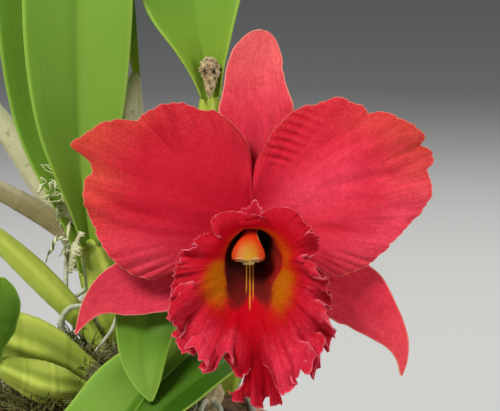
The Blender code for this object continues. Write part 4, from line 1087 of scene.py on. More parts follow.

# Leaves: which bulb, which way the upper face looks, half width and midrib; tone runs from dark 0 to bright
# 1, and a low tone also paints shade on a leaf that lies in shadow; half paints one side of the midrib
# lighter and the other darker, as painted light and shade
leaves = {
    "leaf_behind_bloom": {
        "bulb": "bulb_behind_bloom", "facing": (0, -1, 0.15), "halfWidth": 21, "form": "broad",
        "tone": 0.64, "rib": [(29.4, 11.5, 213), (26.3, 15, 229), (23, 24, 265), (22, 36, 312)],
    },
    "leaf_tall": {
        "bulb": "bulb_tall_leaf", "facing": (0.1, -1, 0.1), "halfWidth": 18, "form": "broad", "tone": 0.72,
        "band": 3.6, "half": 0.14,
        "rib": [(-9, 3, 173), (-10, 3, 197), (-10, 5, 230), (-9, 12, 268), (-6, 24, 300)],
    },
    "leaf_left": {
        "bulb": "bulb_left_leaf", "facing": (0.1, -1, 0.1), "halfWidth": 15.5, "form": "broad",
        "tone": 0.62,
        "rib": [(-13, 19, 165), (-19.5, 22.5, 193), (-23, 26, 230), (-25, 34, 265), (-24, 46, 292)],
    },
    "leaf_edge_on": {
        "bulb": "bulb_sheathed", "facing": (-1, 0, 0.1), "halfWidth": 10, "tone": 0.5,
        "start": (8.8, 25.4, 196), "rib": [(5.8, 26.5, 230), (3, 32, 262), (-1, 44, 294)],
    },
    # its low tone is painted shade under the sepal; it is brighter towards the tip
    "leaf_hanging": {
        "bulb": "bulb_bloom", "facing": (-0.1, -1, 0.5), "halfWidth": 10.5, "form": "pointed", "tone": 0.34,
        "half": 0.1, "bright": 0.8,
        "rib": [
            (28, -26, 151), (25, -36, 154), (18.5, -50, 149), (14.2, -55.5, 138), (13.2, -59, 127),
            (15.3, -61, 114.7),
        ],
    },
    "leaf_low_front": {
        "bulb": "bulb_low", "facing": (-0.3, -0.8, 0.5), "halfWidth": 15.5, "tone": 0.55, "half": 0.36,
        "rib": [(24, -35, 126), (15.5, -43, 119), (6, -52, 108), (-4, -62, 95), (-10, -69, 80)],
    },
    # its tone near 0 is painted shade, where it lies behind leaf_low_front
    "leaf_low_right": {
        "bulb": "bulb_low_right", "facing": (0, -0.3, 0.95), "halfWidth": 9, "tone": 0.05, "young": 0.2,
        "rib": [(40.5, -36, 125), (38.5, -45, 124.5), (31, -54, 121), (19.5, -61, 113), (9.5, -66, 104.5)],
    },
    "leaf_low_left": {
        "bulb": "bulb_lowest", "facing": (0.4, -0.9, 0.1), "halfWidth": 9, "tone": 0.25, "young": 0.3,
        "rib": [(-34.6, -41.8, 128), (-34, -46, 136), (-31.5, -49, 144), (-29, -51, 150)],
    },
    "leaf_fat_bulb": {
        "bulb": "bulb_fat", "facing": (0.5, -0.3, 0.8), "halfWidth": 15, "tone": 0.5,
        "rib": [(-62, -24, 152), (-78, -26, 173), (-91, -24, 199), (-98, -16, 228)],
    },
    "leaf_slender_bulb": {
        "bulb": "bulb_slender", "facing": (0.5, -0.2, 0.8), "halfWidth": 14, "tone": 0.6,
        "rib": [(-59, -4, 179), (-73, -2, 201), (-83, 3, 228), (-88, 12, 256)],
    },
    "leaf_old_grey": {
        "bulb": "bulb_old_grey", "facing": (0.6, -0.5, 0.5), "halfWidth": 14, "tone": 0.4,
        "rib": [(-62, 43, 224), (-70, 45, 250), (-72, 50, 284)],
    },
    "leaf_right": {
        "bulb": "bulb_right", "facing": (-0.2, 0, 1), "halfWidth": 14, "tone": 0.55,
        "rib": [(49, 38, 162), (64, 41, 170), (79, 44, 172), (92, 46, 167)],
    },
    "leaf_back": {
        "bulb": "bulb_back", "facing": (0.1, -0.8, 0.6), "halfWidth": 12, "tone": 0.5,
        "rib": [(-5, 62, 174), (-13, 73, 204), (-18, 88, 230)],
    },
    "leaf_back_low": {
        "bulb": "bulb_back_low", "facing": (0, -0.4, 1), "halfWidth": 13, "tone": 0.5,
        "rib": [(24, 58, 153), (28, 74, 159), (30, 92, 153)],
    },
}
leafLook = {
    "dark": (0.022, 0.08, 0.002),
    "bright": (0.15, 0.38, 0.012),
    "channel": (0.03, 0.125, 0.001),
    "young": (0.34, 0.46, 0.03),
    "edge": (0.38, 0.58, 0.09),
    "under": (0.19, 0.34, 0.045),
    "even": [
        (0, 0.17), (0.06, 0.19), (0.16, 0.42), (0.3, 0.78), (0.45, 0.96), (0.6, 1), (0.75, 0.95),
        (0.87, 0.76), (0.95, 0.48), (1, 0.08),
    ],
    "broad": [
        (0, 0.3), (0.06, 0.42), (0.12, 0.58), (0.26, 0.85), (0.42, 0.98), (0.6, 1), (0.75, 0.95),
        (0.87, 0.76), (0.95, 0.48), (1, 0.08),
    ],
    "pointed": [
        (0, 0.17), (0.06, 0.2), (0.16, 0.42), (0.3, 0.78), (0.45, 0.98), (0.58, 1), (0.67, 0.94),
        (0.73, 0.84), (0.845, 0.63), (0.925, 0.4), (0.97, 0.2), (1, 0.05),
    ],
    "folds": [(0, 62), (0.1, 52), (0.25, 30), (0.5, 17), (1, 12)],
    "speck": (0.16, 0.11, 0.03),
    "band": 1.9,
    "thickness": 1.4,
    "rows": 80,
    "columns": 26,
}


def leafMaterial():
    look = leafLook
    material, tree, shader = newMaterial("leafSkin", 0.45, 0.07, 0, 0.03)
    # the tone: each leaf's own green, darker as painted shade where a leaf lies in shadow
    colour = layer(tree, look["dark"], "tone", look["bright"])
    colour = layer(tree, colour, "young", look["young"])
    colour = layer(tree, colour, pattern(tree, 45, 3, 0.55, 0.35, 0.7), look["under"], 0.12)
    veins = pattern(tree, (34, 2), 3, 0.6, 0.4, 0.65)
    colour = layer(tree, colour, veins, look["dark"], 0.16)
    colour = layer(tree, colour, "channel", look["channel"])
    colour = layer(tree, colour, times(tree, "under", "tone"), look["under"])
    colour = layer(tree, colour, pattern(tree, 900, 2, 0.7, 0.66, 0.74), look["speck"], 0.25)
    colour = layer(tree, colour, "edge", look["edge"])
    finishShader(tree, shader, colour, plus(tree, noiseNode(tree, 1400, 2), veins), 0.12, 0.0002)
    return material


leafSkin = leafMaterial()


def leafMesh(name, shape, seed):
    # a blade along its midrib, folded up either side of it: steeply at the stalk, hardly at the tip;
    # a channel follows the midrib and the margins bend slightly
    top = np.array(bulbs[shape["bulb"]]["path"][-1], float)
    first = np.array(shape["rib"][0], float)
    rib = [shape.get("start", tuple(top - 1.6 * unit(first - top))), *shape["rib"]]
    s, t = sheetShares(leafLook["rows"], leafLook["columns"], 1.15)
    place, _, side, face = frameAlong(rib, s, shape["facing"])
    width = shape["halfWidth"] * smoothTable(leafLook[shape.get("form", "even")], s)
    fold = np.radians(smoothTable(leafLook["folds"], s))
    wave = np.where(t > 0, wander(s * 7, seed, 4), wander(s * 6, seed + 1, 4)) * 0.35 * np.abs(t) ** 1.5
    rise = (np.sqrt(t * t + 0.02) - np.sqrt(0.02)) * np.sin(fold) * width + wave * smoothStep(0.15, 0.4, s)
    rise = rise - 0.35 * hill(t * width, 0, 1.3) * window(s, 0.1, 0.3, 0.85, 0.98)
    grid = (place + side * (t * np.cos(fold) * width)[..., None] + face * rise[..., None]) * mm
    rimGap = np.minimum((1 - np.abs(t)) * width, (1 - s) * 60)
    # half lightens one side of the midrib and darkens the other: painted light and shade across the fold
    half = shape.get("half", 0.06) * (smoothStep(-0.08, 0.08, t) * 2 - 1) * smoothStep(0.12, 0.3, s)
    end = shape.get("bright", 0.1) * smoothStep(0.72, 0.95, s)
    band = shape.get("band", leafLook["band"])
    channel = hill(t * width, 0, band * (0.55 + 0.45 * smoothStep(0.2, 0.7, s)), 4)
    masks = {
        "tone": np.clip(shape["tone"] + half + end - 0.10 * smoothStep(0.2, 0.9, np.abs(t)), 0, 1),
        "young": shape.get("young", 0.8) * (1 - smoothStep(0.05, 0.30, s)) + 0.2 * smoothStep(0.8, 1, s),
        "channel": band / 4.5 * channel * window(s, 0.12, 0.3, 0.8, 0.97),
        "edge": 0.6 * (1 - smoothStep(0.15, 0.55, rimGap)),
    }
    thickness = leafLook["thickness"] * mm * (0.35 + 0.65 * smoothStep(0, 3, rimGap))
    return sheetMesh(name, grid, thickness, masks, np.stack([t / 2, s], -1))


for seed, (name, shape) in enumerate(leaves.items()):
    dressNode(name, leafMesh(name, shape, 60 + seed), leafSkin)
print("stage 7: the leaves are made")

# Creeping stem, roots, flower stalk
stemSkin = plainMaterial("stemSkin", (0.16, 0.13, 0.05), (0.42, 0.36, 0.20), 260, 0.75, 0.25, 0.6, 0.0006)
rootSkin = plainMaterial("rootSkin", (0.30, 0.33, 0.20), (0.68, 0.68, 0.54), 180, 0.8, 0.2, 0.5, 0.0003)
stalkSkin = plainMaterial("stalkSkin", (0.16, 0.28, 0.03), (0.34, 0.42, 0.07), 90, 0.45, 0.4, 0.15, 0.0002,
                          0.05)
stem = {"rows": 110, "sides": 28, "radius": 3.55, "mainLength": 60, "branchLength": 45}


def stemTube(number, line):
    # a line of the creeping stem is a lumpy tube with a raised ring every few millimetres
    points = [(x, y, heapHeight(x, y) + heap["stemLift"]) for x, y in line]
    s, t = tubeShares(stem["rows"], stem["sides"])
    ends = np.minimum(1, np.minimum(9 * s + 0.25, 9 * (1 - s) + 0.25))
    length = stem["branchLength"] if number else stem["mainLength"]
    ridges = 0.16 * np.maximum(np.sin(s * length * 1.25), 0) ** 6
    lumps = 0.05 * wander(s * 30 + t * stem["sides"] * 0.22, 90 + number, 6)
    return closedTube(points, stem["radius"] * ends * (1 + ridges + lumps))


stemTubes = [stemTube(number, line) for number, line in enumerate(stemLines)]
addPiece("creepingStem", joinedMesh("creepingStem", stemTubes), stemSkin, ["rhizome"])


def rootMesh(name, points, radius, seed, look):
    # a tube whose radius wanders a little, in the pale skin of an orchid root
    s, _ = tubeShares(look["rows"], look["sides"])
    radius = radius * (1 + look["lumps"] * wander(s * look["pitch"], seed, 6))
    return joinedMesh(name, [closedTube(points, radius)])


roots = {
    "root_1": [(-3, -1, 113.5), (-9, -4, 112), (-17, -9, 110.5), (-25, -13, 106), (-28, -15, 97)],
    "root_2": [(11, 1, 112), (12, -6, 112.5), (11, -15, 111), (13, -25, 107.5), (14, -31, 99)],
    "root_3": [(32, -9, 111), (38, -5, 107), (43, 2, 103), (46, 7, 93)],
    "root_4": [(-4, 25, 112), (-13, 24, 110.5), (-23, 19, 108), (-33, 15, 104), (-36, 14, 95)],
    "root_5": [(-15, 20.8, 149), (-15.5, 19, 140), (-16, 15, 128), (-18, 11, 116), (-19, 9, 101)],
    "root_6": [(14.5, 27.3, 106), (22, 27, 104.5), (31, 30, 99.5), (37, 33, 93), (39, 34, 85)],
    "root_7": [(8, -24, 108.5), (4, -34, 107), (3, -43, 103.5), (2, -48, 94)],
}
rootRadius = {"root_5": 0.9, "root_3": 1.2, "root_6": 1.2, "root_7": 1.2}
rootLook = {"rows": 90, "sides": 14, "lumps": 0.09, "pitch": 26}
for number, (name, points) in enumerate(roots.items()):
    mesh = rootMesh(name, points, rootRadius.get(name, 1.3), 120 + number, rootLook)
    dressNode(name, mesh, rootSkin)

stalk = {
    "foot": [(31.2, -23.6, 147.4), (32.5, -24.5, 153), (37, -30, 160.5), (42, -40, 165)],
    "radius": [(0, 1.2), (0.1, 1.4), (0.5, 1.6), (0.8, 2.1), (0.95, 2.6), (1, 2.4)],
    "rows": 100,
    "sides": 24,
}


def stalkMesh():
    # a tube from the leaf's foot to the back of the bloom, ribbed lengthwise where it widens
    hubBack = [tuple(bloomPoint(*bloom["hub"], forward) / mm) for forward in (-9, 1.9)]
    s, t = tubeShares(stalk["rows"], stalk["sides"])
    ribs = 0.07 * np.cos(12 * np.pi * t + 2 * s) * smoothStep(0.4, 0.9, s)
    radius = smoothTable(stalk["radius"], s) * (1 + ribs)
    return joinedMesh("flowerStalk", [closedTube([*stalk["foot"], *hubBack], radius)])


addPiece("flowerStalk", stalkMesh(), stalkSkin, ["flower_stalk"])
print("stage 8: the creeping stem, the roots and the flower stalk are made")

# Bark: chips of a few faces, scattered over the heap
barkSkin = plainMaterial("barkSkin", (0.055, 0.030, 0.016), (0.23, 0.14, 0.075), 150, 0.9, 0.2, 0.9, 0.0008)
chips = {"count": 950, "length": (5, 13), "seed": 11, "reach": 52.0, "dents": 0.14, "tilt": 0.35,
         "polar": (0.30, 0.75, 1.57, 2.40, 2.85)}


def chipFaces():
    # the wall of a chip, and three quads that close its first ring and its last
    top = [(0, 1, 2, 3), (0, 3, 4, 7), (7, 4, 5, 6)]
    foot = [(32, 35, 34, 33), (32, 39, 36, 35), (36, 39, 38, 37)]
    return np.concatenate([gridFaces(5, 8, True), top, foot])


def repeated(quads, points, count):
    # the same faces for every one of a number of equal sets of points
    return (quads[None] + (np.arange(count) * points)[:, None, None]).reshape(-1, 4)


def chipMesh():
    # a rounded box of 5 rings of 8 points, repeated with its own size, turn, tilt and dents
    draw = np.random.default_rng(chips["seed"])
    count = chips["count"]
    polar = np.array(chips["polar"])[:, None]
    turn = np.arange(8) / 8 * 2 * np.pi + 0.39
    wide = np.sin(polar)
    ball = np.stack([wide * np.cos(turn), wide * np.sin(turn), np.cos(polar) + 0 * turn], -1).reshape(-1, 3)
    dents = draw.uniform(-chips["dents"], chips["dents"], (count, 40, 3))
    length = draw.uniform(*chips["length"], count)
    broad, thick = draw.uniform(0.4, 0.8, count), draw.uniform(0.22, 0.42, count)
    size = np.stack([length, length * broad, length * thick], -1)
    shape = np.sign(ball) * np.abs(ball) ** 0.55 * (1 + dents) * size[:, None, :] / 2
    tilt, lean = draw.normal(0, chips["tilt"], count), draw.normal(0, chips["tilt"], count)
    spin = draw.uniform(0, 6.3, count)
    for angle, a, b in ((tilt, 1, 2), (lean, 0, 2), (spin, 0, 1)):
        cos, sin = np.cos(angle)[:, None], np.sin(angle)[:, None]
        shape[..., a], shape[..., b] = (shape[..., a] * cos - shape[..., b] * sin,
                                        shape[..., a] * sin + shape[..., b] * cos)
    number = np.arange(count) + 0.5
    spread = number * 2.39996 + draw.uniform(-0.3, 0.3, count)
    inside = heap["rim"] - np.hypot(size[:, 0], size[:, 1]) / 2
    far = np.minimum(chips["reach"] * np.sqrt(number / count), inside)
    x, y = far * np.cos(spread), far * np.sin(spread)
    place = np.stack([x, y, heapHeight(x, y) + draw.uniform(-3.0, 0.6, count)], -1)
    points = ((shape + place[:, None]) * mm).reshape(-1, 3)
    mesh = makeMesh("barkChips", points, repeated(chipFaces(), 40, count), uv=points[:, :2] * 20)
    mesh.shade_flat()
    return mesh


def corePoints():
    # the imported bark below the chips: a turned plug from the pot's floor up to just under the heap's top
    inward = np.linspace(50, 0.0, 24)
    radii = np.concatenate([[0.0, 37.5, 37.8], np.linspace(52.6, 53.2, 3), inward])
    levels = np.concatenate([[7.4, 7.4, 8.0, 70, 74, 82], heapHeight(inward, 0) - 3.2])
    return turnedRings(radii, levels, 72), gridFaces(len(radii), 72, True)[:, [0, 3, 2, 1]]


addPiece("barkChips", chipMesh(), barkSkin, ["bark"])
addPiece("barkCore", joinedMesh("barkCore", [corePoints()]), barkSkin)
print("stage 9: the bark is made")

# Strands: moss and dry fibre in the heap, and the papery shreds where old scales were. Clumps are
# (middle, spread, number of strands, the way they mostly point)
strandPieces = {
    "moss": {
        "material": plainMaterial(
            "mossSkin", (0.05, 0.06, 0.012), (0.26, 0.27, 0.09), 300, 0.95, 0.1, 0.3, 0.0003,
        ),
        "length": (4, 11), "radius": 0.22, "flat": 1.0, "bend": 0.5, "seed": 23, "onHeap": True,
        "clumps": [
            ((-20, 2, 112), (15, 10, 6), 620, (0, 0, 0)), ((-30, -14, 108), (10, 8, 5), 300, (0, 0, 0)),
            ((-6, -14, 112), (9, 8, 6), 420, (0, 0, 0.3)), ((18, -20, 110), (9, 9, 5), 260, (0, 0, 0)),
            ((-14, 22, 113), (10, 8, 8), 260, (0, 0, 0)), ((26, 8, 109), (10, 10, 4), 160, (0, 0, 0)),
            ((-17, -31, 108), (9, 4, 4), 260, (0, -0.3, 0.2)),
            ((-13, -3, 119), (13, 7, 6), 320, (0, 0, 0.6)),
        ],
    },
    "paleFibre": {
        "material": plainMaterial(
            "fibreSkin", (0.2, 0.2, 0.1), (0.52, 0.52, 0.34), 300, 0.9, 0.1, 0.3, 0.0003,
        ),
        "length": (5, 12), "radius": 0.3, "flat": 1.0, "bend": 0.35, "seed": 29, "onHeap": True,
        "clumps": [
            ((-12, -8, 116), (12, 8, 6), 70, (0, -0.4, 0.3)), ((-26, -6, 113), (10, 8, 5), 50, (0, 0, 0.3)),
            ((20, -30, 106), (8, 4, 4), 60, (0, -0.6, 0.5)), ((10, -38, 103), (10, 5, 3), 40, (0, 0, 0.2)),
        ],
    },
    "shreds": {
        "material": plainMaterial(
            "shredSkin", (0.55, 0.58, 0.26), (0.9, 0.9, 0.62), 260, 0.8, 0.15, 0.3, 0.0003,
        ),
        "length": (6, 13), "radius": 0.75, "flat": 0.3, "bend": 0.6, "seed": 37, "onHeap": False,
        "clumps": [
            ((-12.5, 9, 168), (6, 1.5, 4), 60, (-0.3, -0.3, 0.2)),
            ((-9.5, 9, 171), (4, 1.5, 4), 34, (0.5, -0.2, 0.3)),
            ((-13, 17, 152), (3, 2, 6), 16, (0.1, -0.2, -1.0)),
            ((-9.5, 15, 158), (2.5, 2, 3), 10, (0.2, -0.3, 0.6)),
            ((-37.5, -21, 142), (3, 2, 3), 16, (0, -0.3, 0.7)),
            ((4, 27, 196), (3, 1, 5), 10, (0.3, -0.1, -0.6)),
        ],
    },
}
strandSteps = 5


def strandMesh(name, look):
    # each strand is a bent line of a few steps with four sides, thinning to its tip: its direction is
    # its clump's with a random part, and turns by a random amount along it
    draw = np.random.default_rng(look["seed"])
    starts, leads = [], []
    for middle, spread, count, lead in look["clumps"]:
        starts.append(draw.normal(0, 0.5, (count, 3)) * np.array(spread) + np.array(middle))
        leads.append(np.repeat(np.array([lead], float), count, 0))
    start = np.concatenate(starts)
    count = len(start)
    if look["onHeap"]:
        level = heapHeight(start[:, 0], start[:, 1])
        start[:, 2] = np.clip(start[:, 2], level - 1, level + 10)
    heading = unit(draw.normal(0, 0.6, (count, 3)) * (1, 1, 0.6) + np.concatenate(leads))
    bend = draw.normal(0, look["bend"], (count, 3))
    along = np.linspace(0, 1, strandSteps)[None, :, None]
    curl = 0.4 * np.sin(along * 9 + bend[:, None] * 5)
    direction = unit(heading[:, None] + bend[:, None] * along * 2 + curl)
    length = draw.uniform(*look["length"], count)[:, None, None]
    line = start[:, None] + np.cumsum(direction, axis=1) * length / strandSteps
    side = unit(np.cross(direction, np.array([0.3, 0.2, 1.0])))
    face = np.cross(side, direction) * look["flat"]
    thin = look["radius"] * np.sin(np.pi * (0.12 + 0.82 * along)) ** 0.7
    turn = np.arange(4) / 4 * 2 * np.pi
    ring = side[..., None, :] * np.cos(turn)[:, None] + face[..., None, :] * np.sin(turn)[:, None]
    points = ((line[..., None, :] + ring * thin[..., None]) * mm).reshape(-1, 3)
    last = strandSteps * 4 - 1
    ends = [(0, 1, 2, 3), (last, last - 1, last - 2, last - 3)]
    quads = np.concatenate([gridFaces(strandSteps, 4, True), ends])
    return makeMesh(name, points, repeated(quads, strandSteps * 4, count), uv=points[:, :2] * 20)


for name, look in strandPieces.items():
    addPiece(name, strandMesh(name, look), look["material"])

# Loose pale roots and a thin stick over the heap, each a tube of its own radius
looseRoots = {
    "rootBent": ([(-5, -10, 131), (-8, -11, 133.8), (-11.5, -11.6, 133.8), (-14, -11.6, 131.6),
                  (-15, -11, 128.5),
                  (-14.5, -10.5, 125)], 0.85),
    "rootStick": ([(3, -12, 132), (1, -14, 127), (-3.7, -14.5, 120.4), (-5, -14, 117)], 0.55),
    "rootHanging": ([(-9.5, 16, 152), (-9, 15, 146), (-7.6, 13, 140), (-8.6, 11, 134), (-12, 8, 129)], 0.75),
    "rootCrossed": ([(-18, 8, 133), (-13, 6.5, 133.4), (-9, 5, 136), (-6, 5, 139)], 0.7),
    "rootFront": ([(19, -33, 112), (21, -38, 108), (20.5, -42, 103), (22, -45, 97)], 0.9),
    "rootFrontLeft": ([(14, -33, 110), (13.5, -38, 106), (11, -42, 102), (12, -46, 96)], 0.8),
    "rootStubLeft": ([(31, -24, 108), (27, -26.5, 108.6), (23.5, -28, 106), (20.5, -30, 100)], 0.95),
    "rootStubFront": ([(31, -26, 108), (29.4, -29, 105.5), (28.6, -31, 99), (28, -32, 93)], 0.9),
    "rootStubRight": ([(33, -26, 107), (35.2, -29, 105), (36, -31, 99), (35.5, -32, 93)], 0.9),
}
looseLook = {"rows": 60, "sides": 12, "lumps": 0.1, "pitch": 22}
for number, (name, (points, radius)) in enumerate(looseRoots.items()):
    addPiece(name, rootMesh(name, points, radius, 160 + number, looseLook), rootSkin)

# The dried stub of an old bulb with a knobbly top
oldStub = {
    "line": [(31.5, -21, 97), (31.7, -22.5, 105), (32, -24.5, 113.8)],
    "profile": [(0, 0.7), (0.35, 0.72), (0.6, 1.0), (0.85, 0.98), (0.95, 0.7), (1, 0.35)],
    "radius": 3.9,
    "rows": 50,
    "sides": 36,
}


def stubMesh():
    # rings along a line: a bulging profile with lengthwise wrinkles and a lumpy end
    s, t = tubeShares(oldStub["rows"], oldStub["sides"])
    turn = 2 * np.pi * t
    wrinkles = 0.07 * np.sin(9 * turn + 3 * s) + 0.10 * wander(turn * 4 + 6 * s, 401, 6)
    wrinkles = wrinkles + 0.05 * wander(s * 30, 402, 5)
    radius = oldStub["radius"] * smoothTable(oldStub["profile"], s) * (1 + wrinkles)
    return joinedMesh("oldStub", [closedTube(oldStub["line"], radius)])


# the stub's beige, made paler as painted light where the bloom shades it
stubSkinPaintedLight = plainMaterial("stubSkinPaintedLight", (0.34, 0.27, 0.13), (0.86, 0.72, 0.44), 330, 0.85, 0.2, 0.8, 0.0007)
addPiece("oldStub", stubMesh(), stubSkinPaintedLight)
print("stage 10: the moss, the shreds, the loose roots and the old stub are made")

# Papery husks: torn scales where old leaves and bracts were
huskSkin = plainMaterial("huskSkin", (0.34, 0.33, 0.15), (0.72, 0.72, 0.46), 420, 0.85, 0.2, 0.6, 0.0004)
husks = {
    "huskBulbLeft": {
        "line": [(-15, 14, 158), (-12, 11, 163), (-8, 10, 168)], "wide": 3.6, "across": (0.4, -1, 0.2),
    },
    "huskTallLeaf": {
        "line": [(-9.2, -3.0, 156.5), (-11.8, -4.2, 151), (-12.8, -3.4, 143.5)], "wide": 2.8,
        "across": (0.93, 0.25, 0.2),
    },
    "huskStemA": {
        "line": [(-18, 22, 157), (-14, 21, 150), (-13, 19, 141)], "wide": 2.6, "across": (1, -0.8, 0),
    },
    "huskStemB": {
        "line": [(-12, 22, 158), (-10, 21, 151), (-11, 19, 144)], "wide": 2.2, "across": (1, -0.3, 0),
    },
}
huskDetail = {"rows": 44, "columns": 22, "thickness": 0.25}


def huskMesh(name, shape, seed):
    # a thin scale along a line, curled round it and torn at both sides
    s, t = sheetShares(huskDetail["rows"], huskDetail["columns"])
    place, _, side, face = frameAlong(shape["line"], s, shape["across"])
    torn = 1 + 0.35 * wander(s * 14 + 2 * np.sign(t), seed, 7)
    width = shape["wide"] * (0.35 + 0.75 * np.sin(np.pi * (0.12 + 0.8 * s))) * torn
    curl = 1.1 * t + 0.25 * wander(s * 9 + t, seed + 1, 4)
    rise = 0.9 * (1 - np.cos(curl)) * width + 0.25 * wander(s * 12 + 4 * t, seed + 2, 5)
    grid = (place + side * (np.sin(curl) * width)[..., None] + face * rise[..., None]) * mm
    return sheetMesh(name, grid, huskDetail["thickness"] * mm, {}, np.stack([t / 2, s], -1))


for seed, (name, shape) in enumerate(husks.items()):
    addPiece(name, huskMesh(name, shape, 200 + seed), huskSkin)

# The dry scale with two bud hollows at the foot of the leaf above the bloom
bract = {
    "rib": [(31.5, 3.9, 198), (31.8, 2.9, 204), (31.4, 2.3, 211)],
    "halfWidth": 2.7,
    "outline": [(0, 0.05), (0.25, 0.5), (0.5, 0.85), (0.7, 1.15), (0.88, 0.9), (1, 0.3)],
    "rows": 70,
    "columns": 36,
    "thickness": 0.6,
    "dark": (0.33, 0.21, 0.1),
    "pale": (0.74, 0.62, 0.34),
    "hole": (0.02, 0.012, 0.006),
    "lip": (0.8, 0.72, 0.42),
}


def bractMaterial():
    material, tree, shader = newMaterial("bractSkin", 0.8, 0.25)
    colour = layer(tree, bract["dark"], pattern(tree, 700, 5, 0.7, 0.4, 0.6), bract["pale"])
    for mask in ("hole", "lip"):
        colour = layer(tree, colour, mask, bract[mask])
    finishShader(tree, shader, colour, noiseNode(tree, 1500, 4), 0.8, 0.0006)
    return material


def bractMesh():
    # a dry scale with a pointed foot and a jagged top, hollowed where its two buds were
    s, t = sheetShares(bract["rows"], bract["columns"])
    place, _ = midline(bract["rib"], s)
    jag = 1 + 0.16 * wander(s * 19 + np.sign(t), 301, 7) * smoothStep(0.3, 0.6, s)
    width = bract["halfWidth"] * smoothTable(bract["outline"], s) * jag
    holes = hill(s, 0.66, 0.09) * (hill(t, -0.42, 0.22) + hill(t, 0.38, 0.22))
    rise = 0.72 * (1 - np.cos(1.25 * t)) * width + 0.7 * holes + 0.2 * wander(s * 15 + 7 * t, 302, 6) - 0.5
    grid = np.stack([place[..., 0] + np.sin(1.25 * t) * width, place[..., 1] + rise, place[..., 2]], -1) * mm
    rim = np.maximum(smoothStep(0.82, 0.97, np.abs(t)), smoothStep(0.93, 0.99, s))
    masks = {"hole": holes * 1.3, "lip": rim * 0.8}
    return sheetMesh("drySheath", grid, bract["thickness"] * mm, masks, np.stack([t / 2, s], -1), True)


addPiece("drySheath", bractMesh(), bractMaterial(), ["dry_sheath"])
print("stage 11: the dry scales are made")

# The pot: a smooth turned wall, with the three drain holes cut through its floor
potClay = plainMaterial("potClay", (0.46, 0.17, 0.085), (0.58, 0.26, 0.15), 38, 0.85, 0.25, 0.35, 0.0004)
pot = {
    "profile": [
        (0, 0), (42.0, 0), (42.8, 0.3), (43.9, 1.1), (44.2, 1.9), (58.4, 69.2), (58.7, 69.8), (61.2, 70.9),
        (61.5, 71.6), (62, 88.6), (61.8, 89.5), (61.1, 90), (57.5, 90), (56.9, 89.6), (53.6, 71.8),
        (53.3, 70.6), (38.3, 8.0), (37.6, 7.1), (0, 7),
    ],
    "holes": 3,
    "holeCircle": 24,
    "holeRadius": 5,
    "sides": 144,
}


def potMesh():
    # the profile turned about the pot's middle and closed at both ends
    radius, level = np.array(pot["profile"][1:-1], float).T
    turn = np.arange(pot["sides"]) / pot["sides"] * 2 * np.pi
    uv = np.stack(np.meshgrid(level, turn, indexing="ij"), -1)
    return bodyMesh("potWall", turnedRings(radius, level, pot["sides"])[:, ::-1], {}, uv)


def cutHoles(mesh):
    # upright plugs of the holes' size, through the floor and a little beyond, taken out of the wall
    body = bpy.data.objects.new("potBlank", mesh)
    bpy.context.scene.collection.objects.link(body)
    cutters = bpy.data.collections.new("drainHoles")
    for number in range(pot["holes"]):
        angle = math.radians(90 + 360 / pot["holes"] * number)
        middle = pot["holeCircle"] * math.cos(angle), pot["holeCircle"] * math.sin(angle)
        rings = turnedRings([pot["holeRadius"]] * 2, (-4.0, 12.0), 40, middle)
        plug = bodyMesh("drainHole", rings[:, ::-1], {}, np.zeros((2, 40, 2)))
        cutters.objects.link(bpy.data.objects.new("drainHole", plug))
    cut = body.modifiers.new("cut", "BOOLEAN")
    cut.operand_type, cut.collection, cut.operation = "COLLECTION", cutters, "DIFFERENCE"
    view = bpy.context.evaluated_depsgraph_get()
    done = bpy.data.meshes.new_from_object(body.evaluated_get(view))
    for leftover in (*cutters.objects, body):
        bpy.data.objects.remove(leftover)
    bpy.data.collections.remove(cutters)
    done.name = "potWall"
    done.materials.clear()
    done.set_sharp_from_angle(angle=math.radians(38))
    return done


addPiece("potWall", cutHoles(potMesh()), potClay, ["pot"])
print("stage 12: the pot is made")

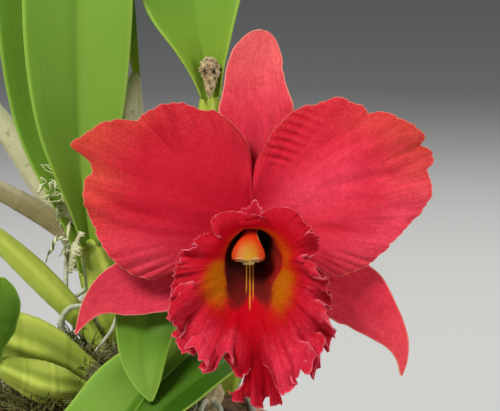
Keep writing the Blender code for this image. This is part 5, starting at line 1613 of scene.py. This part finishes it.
# Floor, light and camera
studio = {
    "floor": (0.62, 0.62, 0.6),
    "world": 0.14,
    "lights": [
        ((-0.75, -1.0, 1.35), 0.5, 28, (1, 0.98, 0.95)), ((1.3, -1.1, 0.55), 0.7, 9.5, (0.97, 0.98, 1)),
        ((0.3, 1.0, 1.2), 0.7, 11, (1, 1, 1)),
    ],
    "aim": (44.3, -62, 173),
    "distance": 700,
    "elevation": 8,
    "lens": 173.8,
}


def makeFloor():
    half = 15.0
    points = np.array([(-half, -half, 0), (half, -half, 0), (half, half, 0), (-half, half, 0)], float)
    floor = bpy.data.objects.new("floor", makeMesh("floor", points, np.array([[0, 1, 2, 3]])))
    bpy.context.scene.collection.objects.link(floor)
    material, _, shader = newMaterial("floorPaper", 0.9, 0.1)
    shader.inputs["Base Color"].default_value = (*studio["floor"], 1)
    floor.data.materials.append(material)


def makeLights():
    aim = np.array(studio["aim"]) * mm
    for number, (place, size, power, colour) in enumerate(studio["lights"]):
        lamp = bpy.data.lights.new("lamp" + str(number), "AREA")
        lamp.size, lamp.energy, lamp.color = size, power, colour
        holder = bpy.data.objects.new(lamp.name, lamp)
        holder.location = place
        away = np.array(place) - aim
        level = math.hypot(away[0], away[1])
        holder.rotation_euler = (math.atan2(level, away[2]), 0, math.atan2(away[0], -away[1]))
        bpy.context.scene.collection.objects.link(holder)
    world = bpy.context.scene.world or bpy.data.worlds.new("world")
    bpy.context.scene.world = world
    world.use_nodes = True
    world.node_tree.nodes["Background"].inputs["Color"].default_value = (0.9, 0.95, 1, 1)
    world.node_tree.nodes["Background"].inputs["Strength"].default_value = studio["world"]


def makeCamera():
    tilt = math.radians(studio["elevation"])
    aim = np.array(studio["aim"])
    place = (aim + studio["distance"] * np.array([0, -math.cos(tilt), math.sin(tilt)])) * mm
    camera = bpy.data.cameras.new("camera")
    camera.lens, camera.sensor_width, camera.clip_start = studio["lens"], 36, 0.01
    holder = bpy.data.objects.new("camera", camera)
    holder.location = place
    holder.rotation_euler = (math.radians(90 - studio["elevation"]), 0, 0)
    bpy.context.scene.collection.objects.link(holder)
    bpy.context.scene.camera = holder


makeFloor()
makeLights()
makeCamera()
bpy.context.scene.view_settings.view_transform = "Standard"
print("stage 13: the floor, the lights and the camera are in")
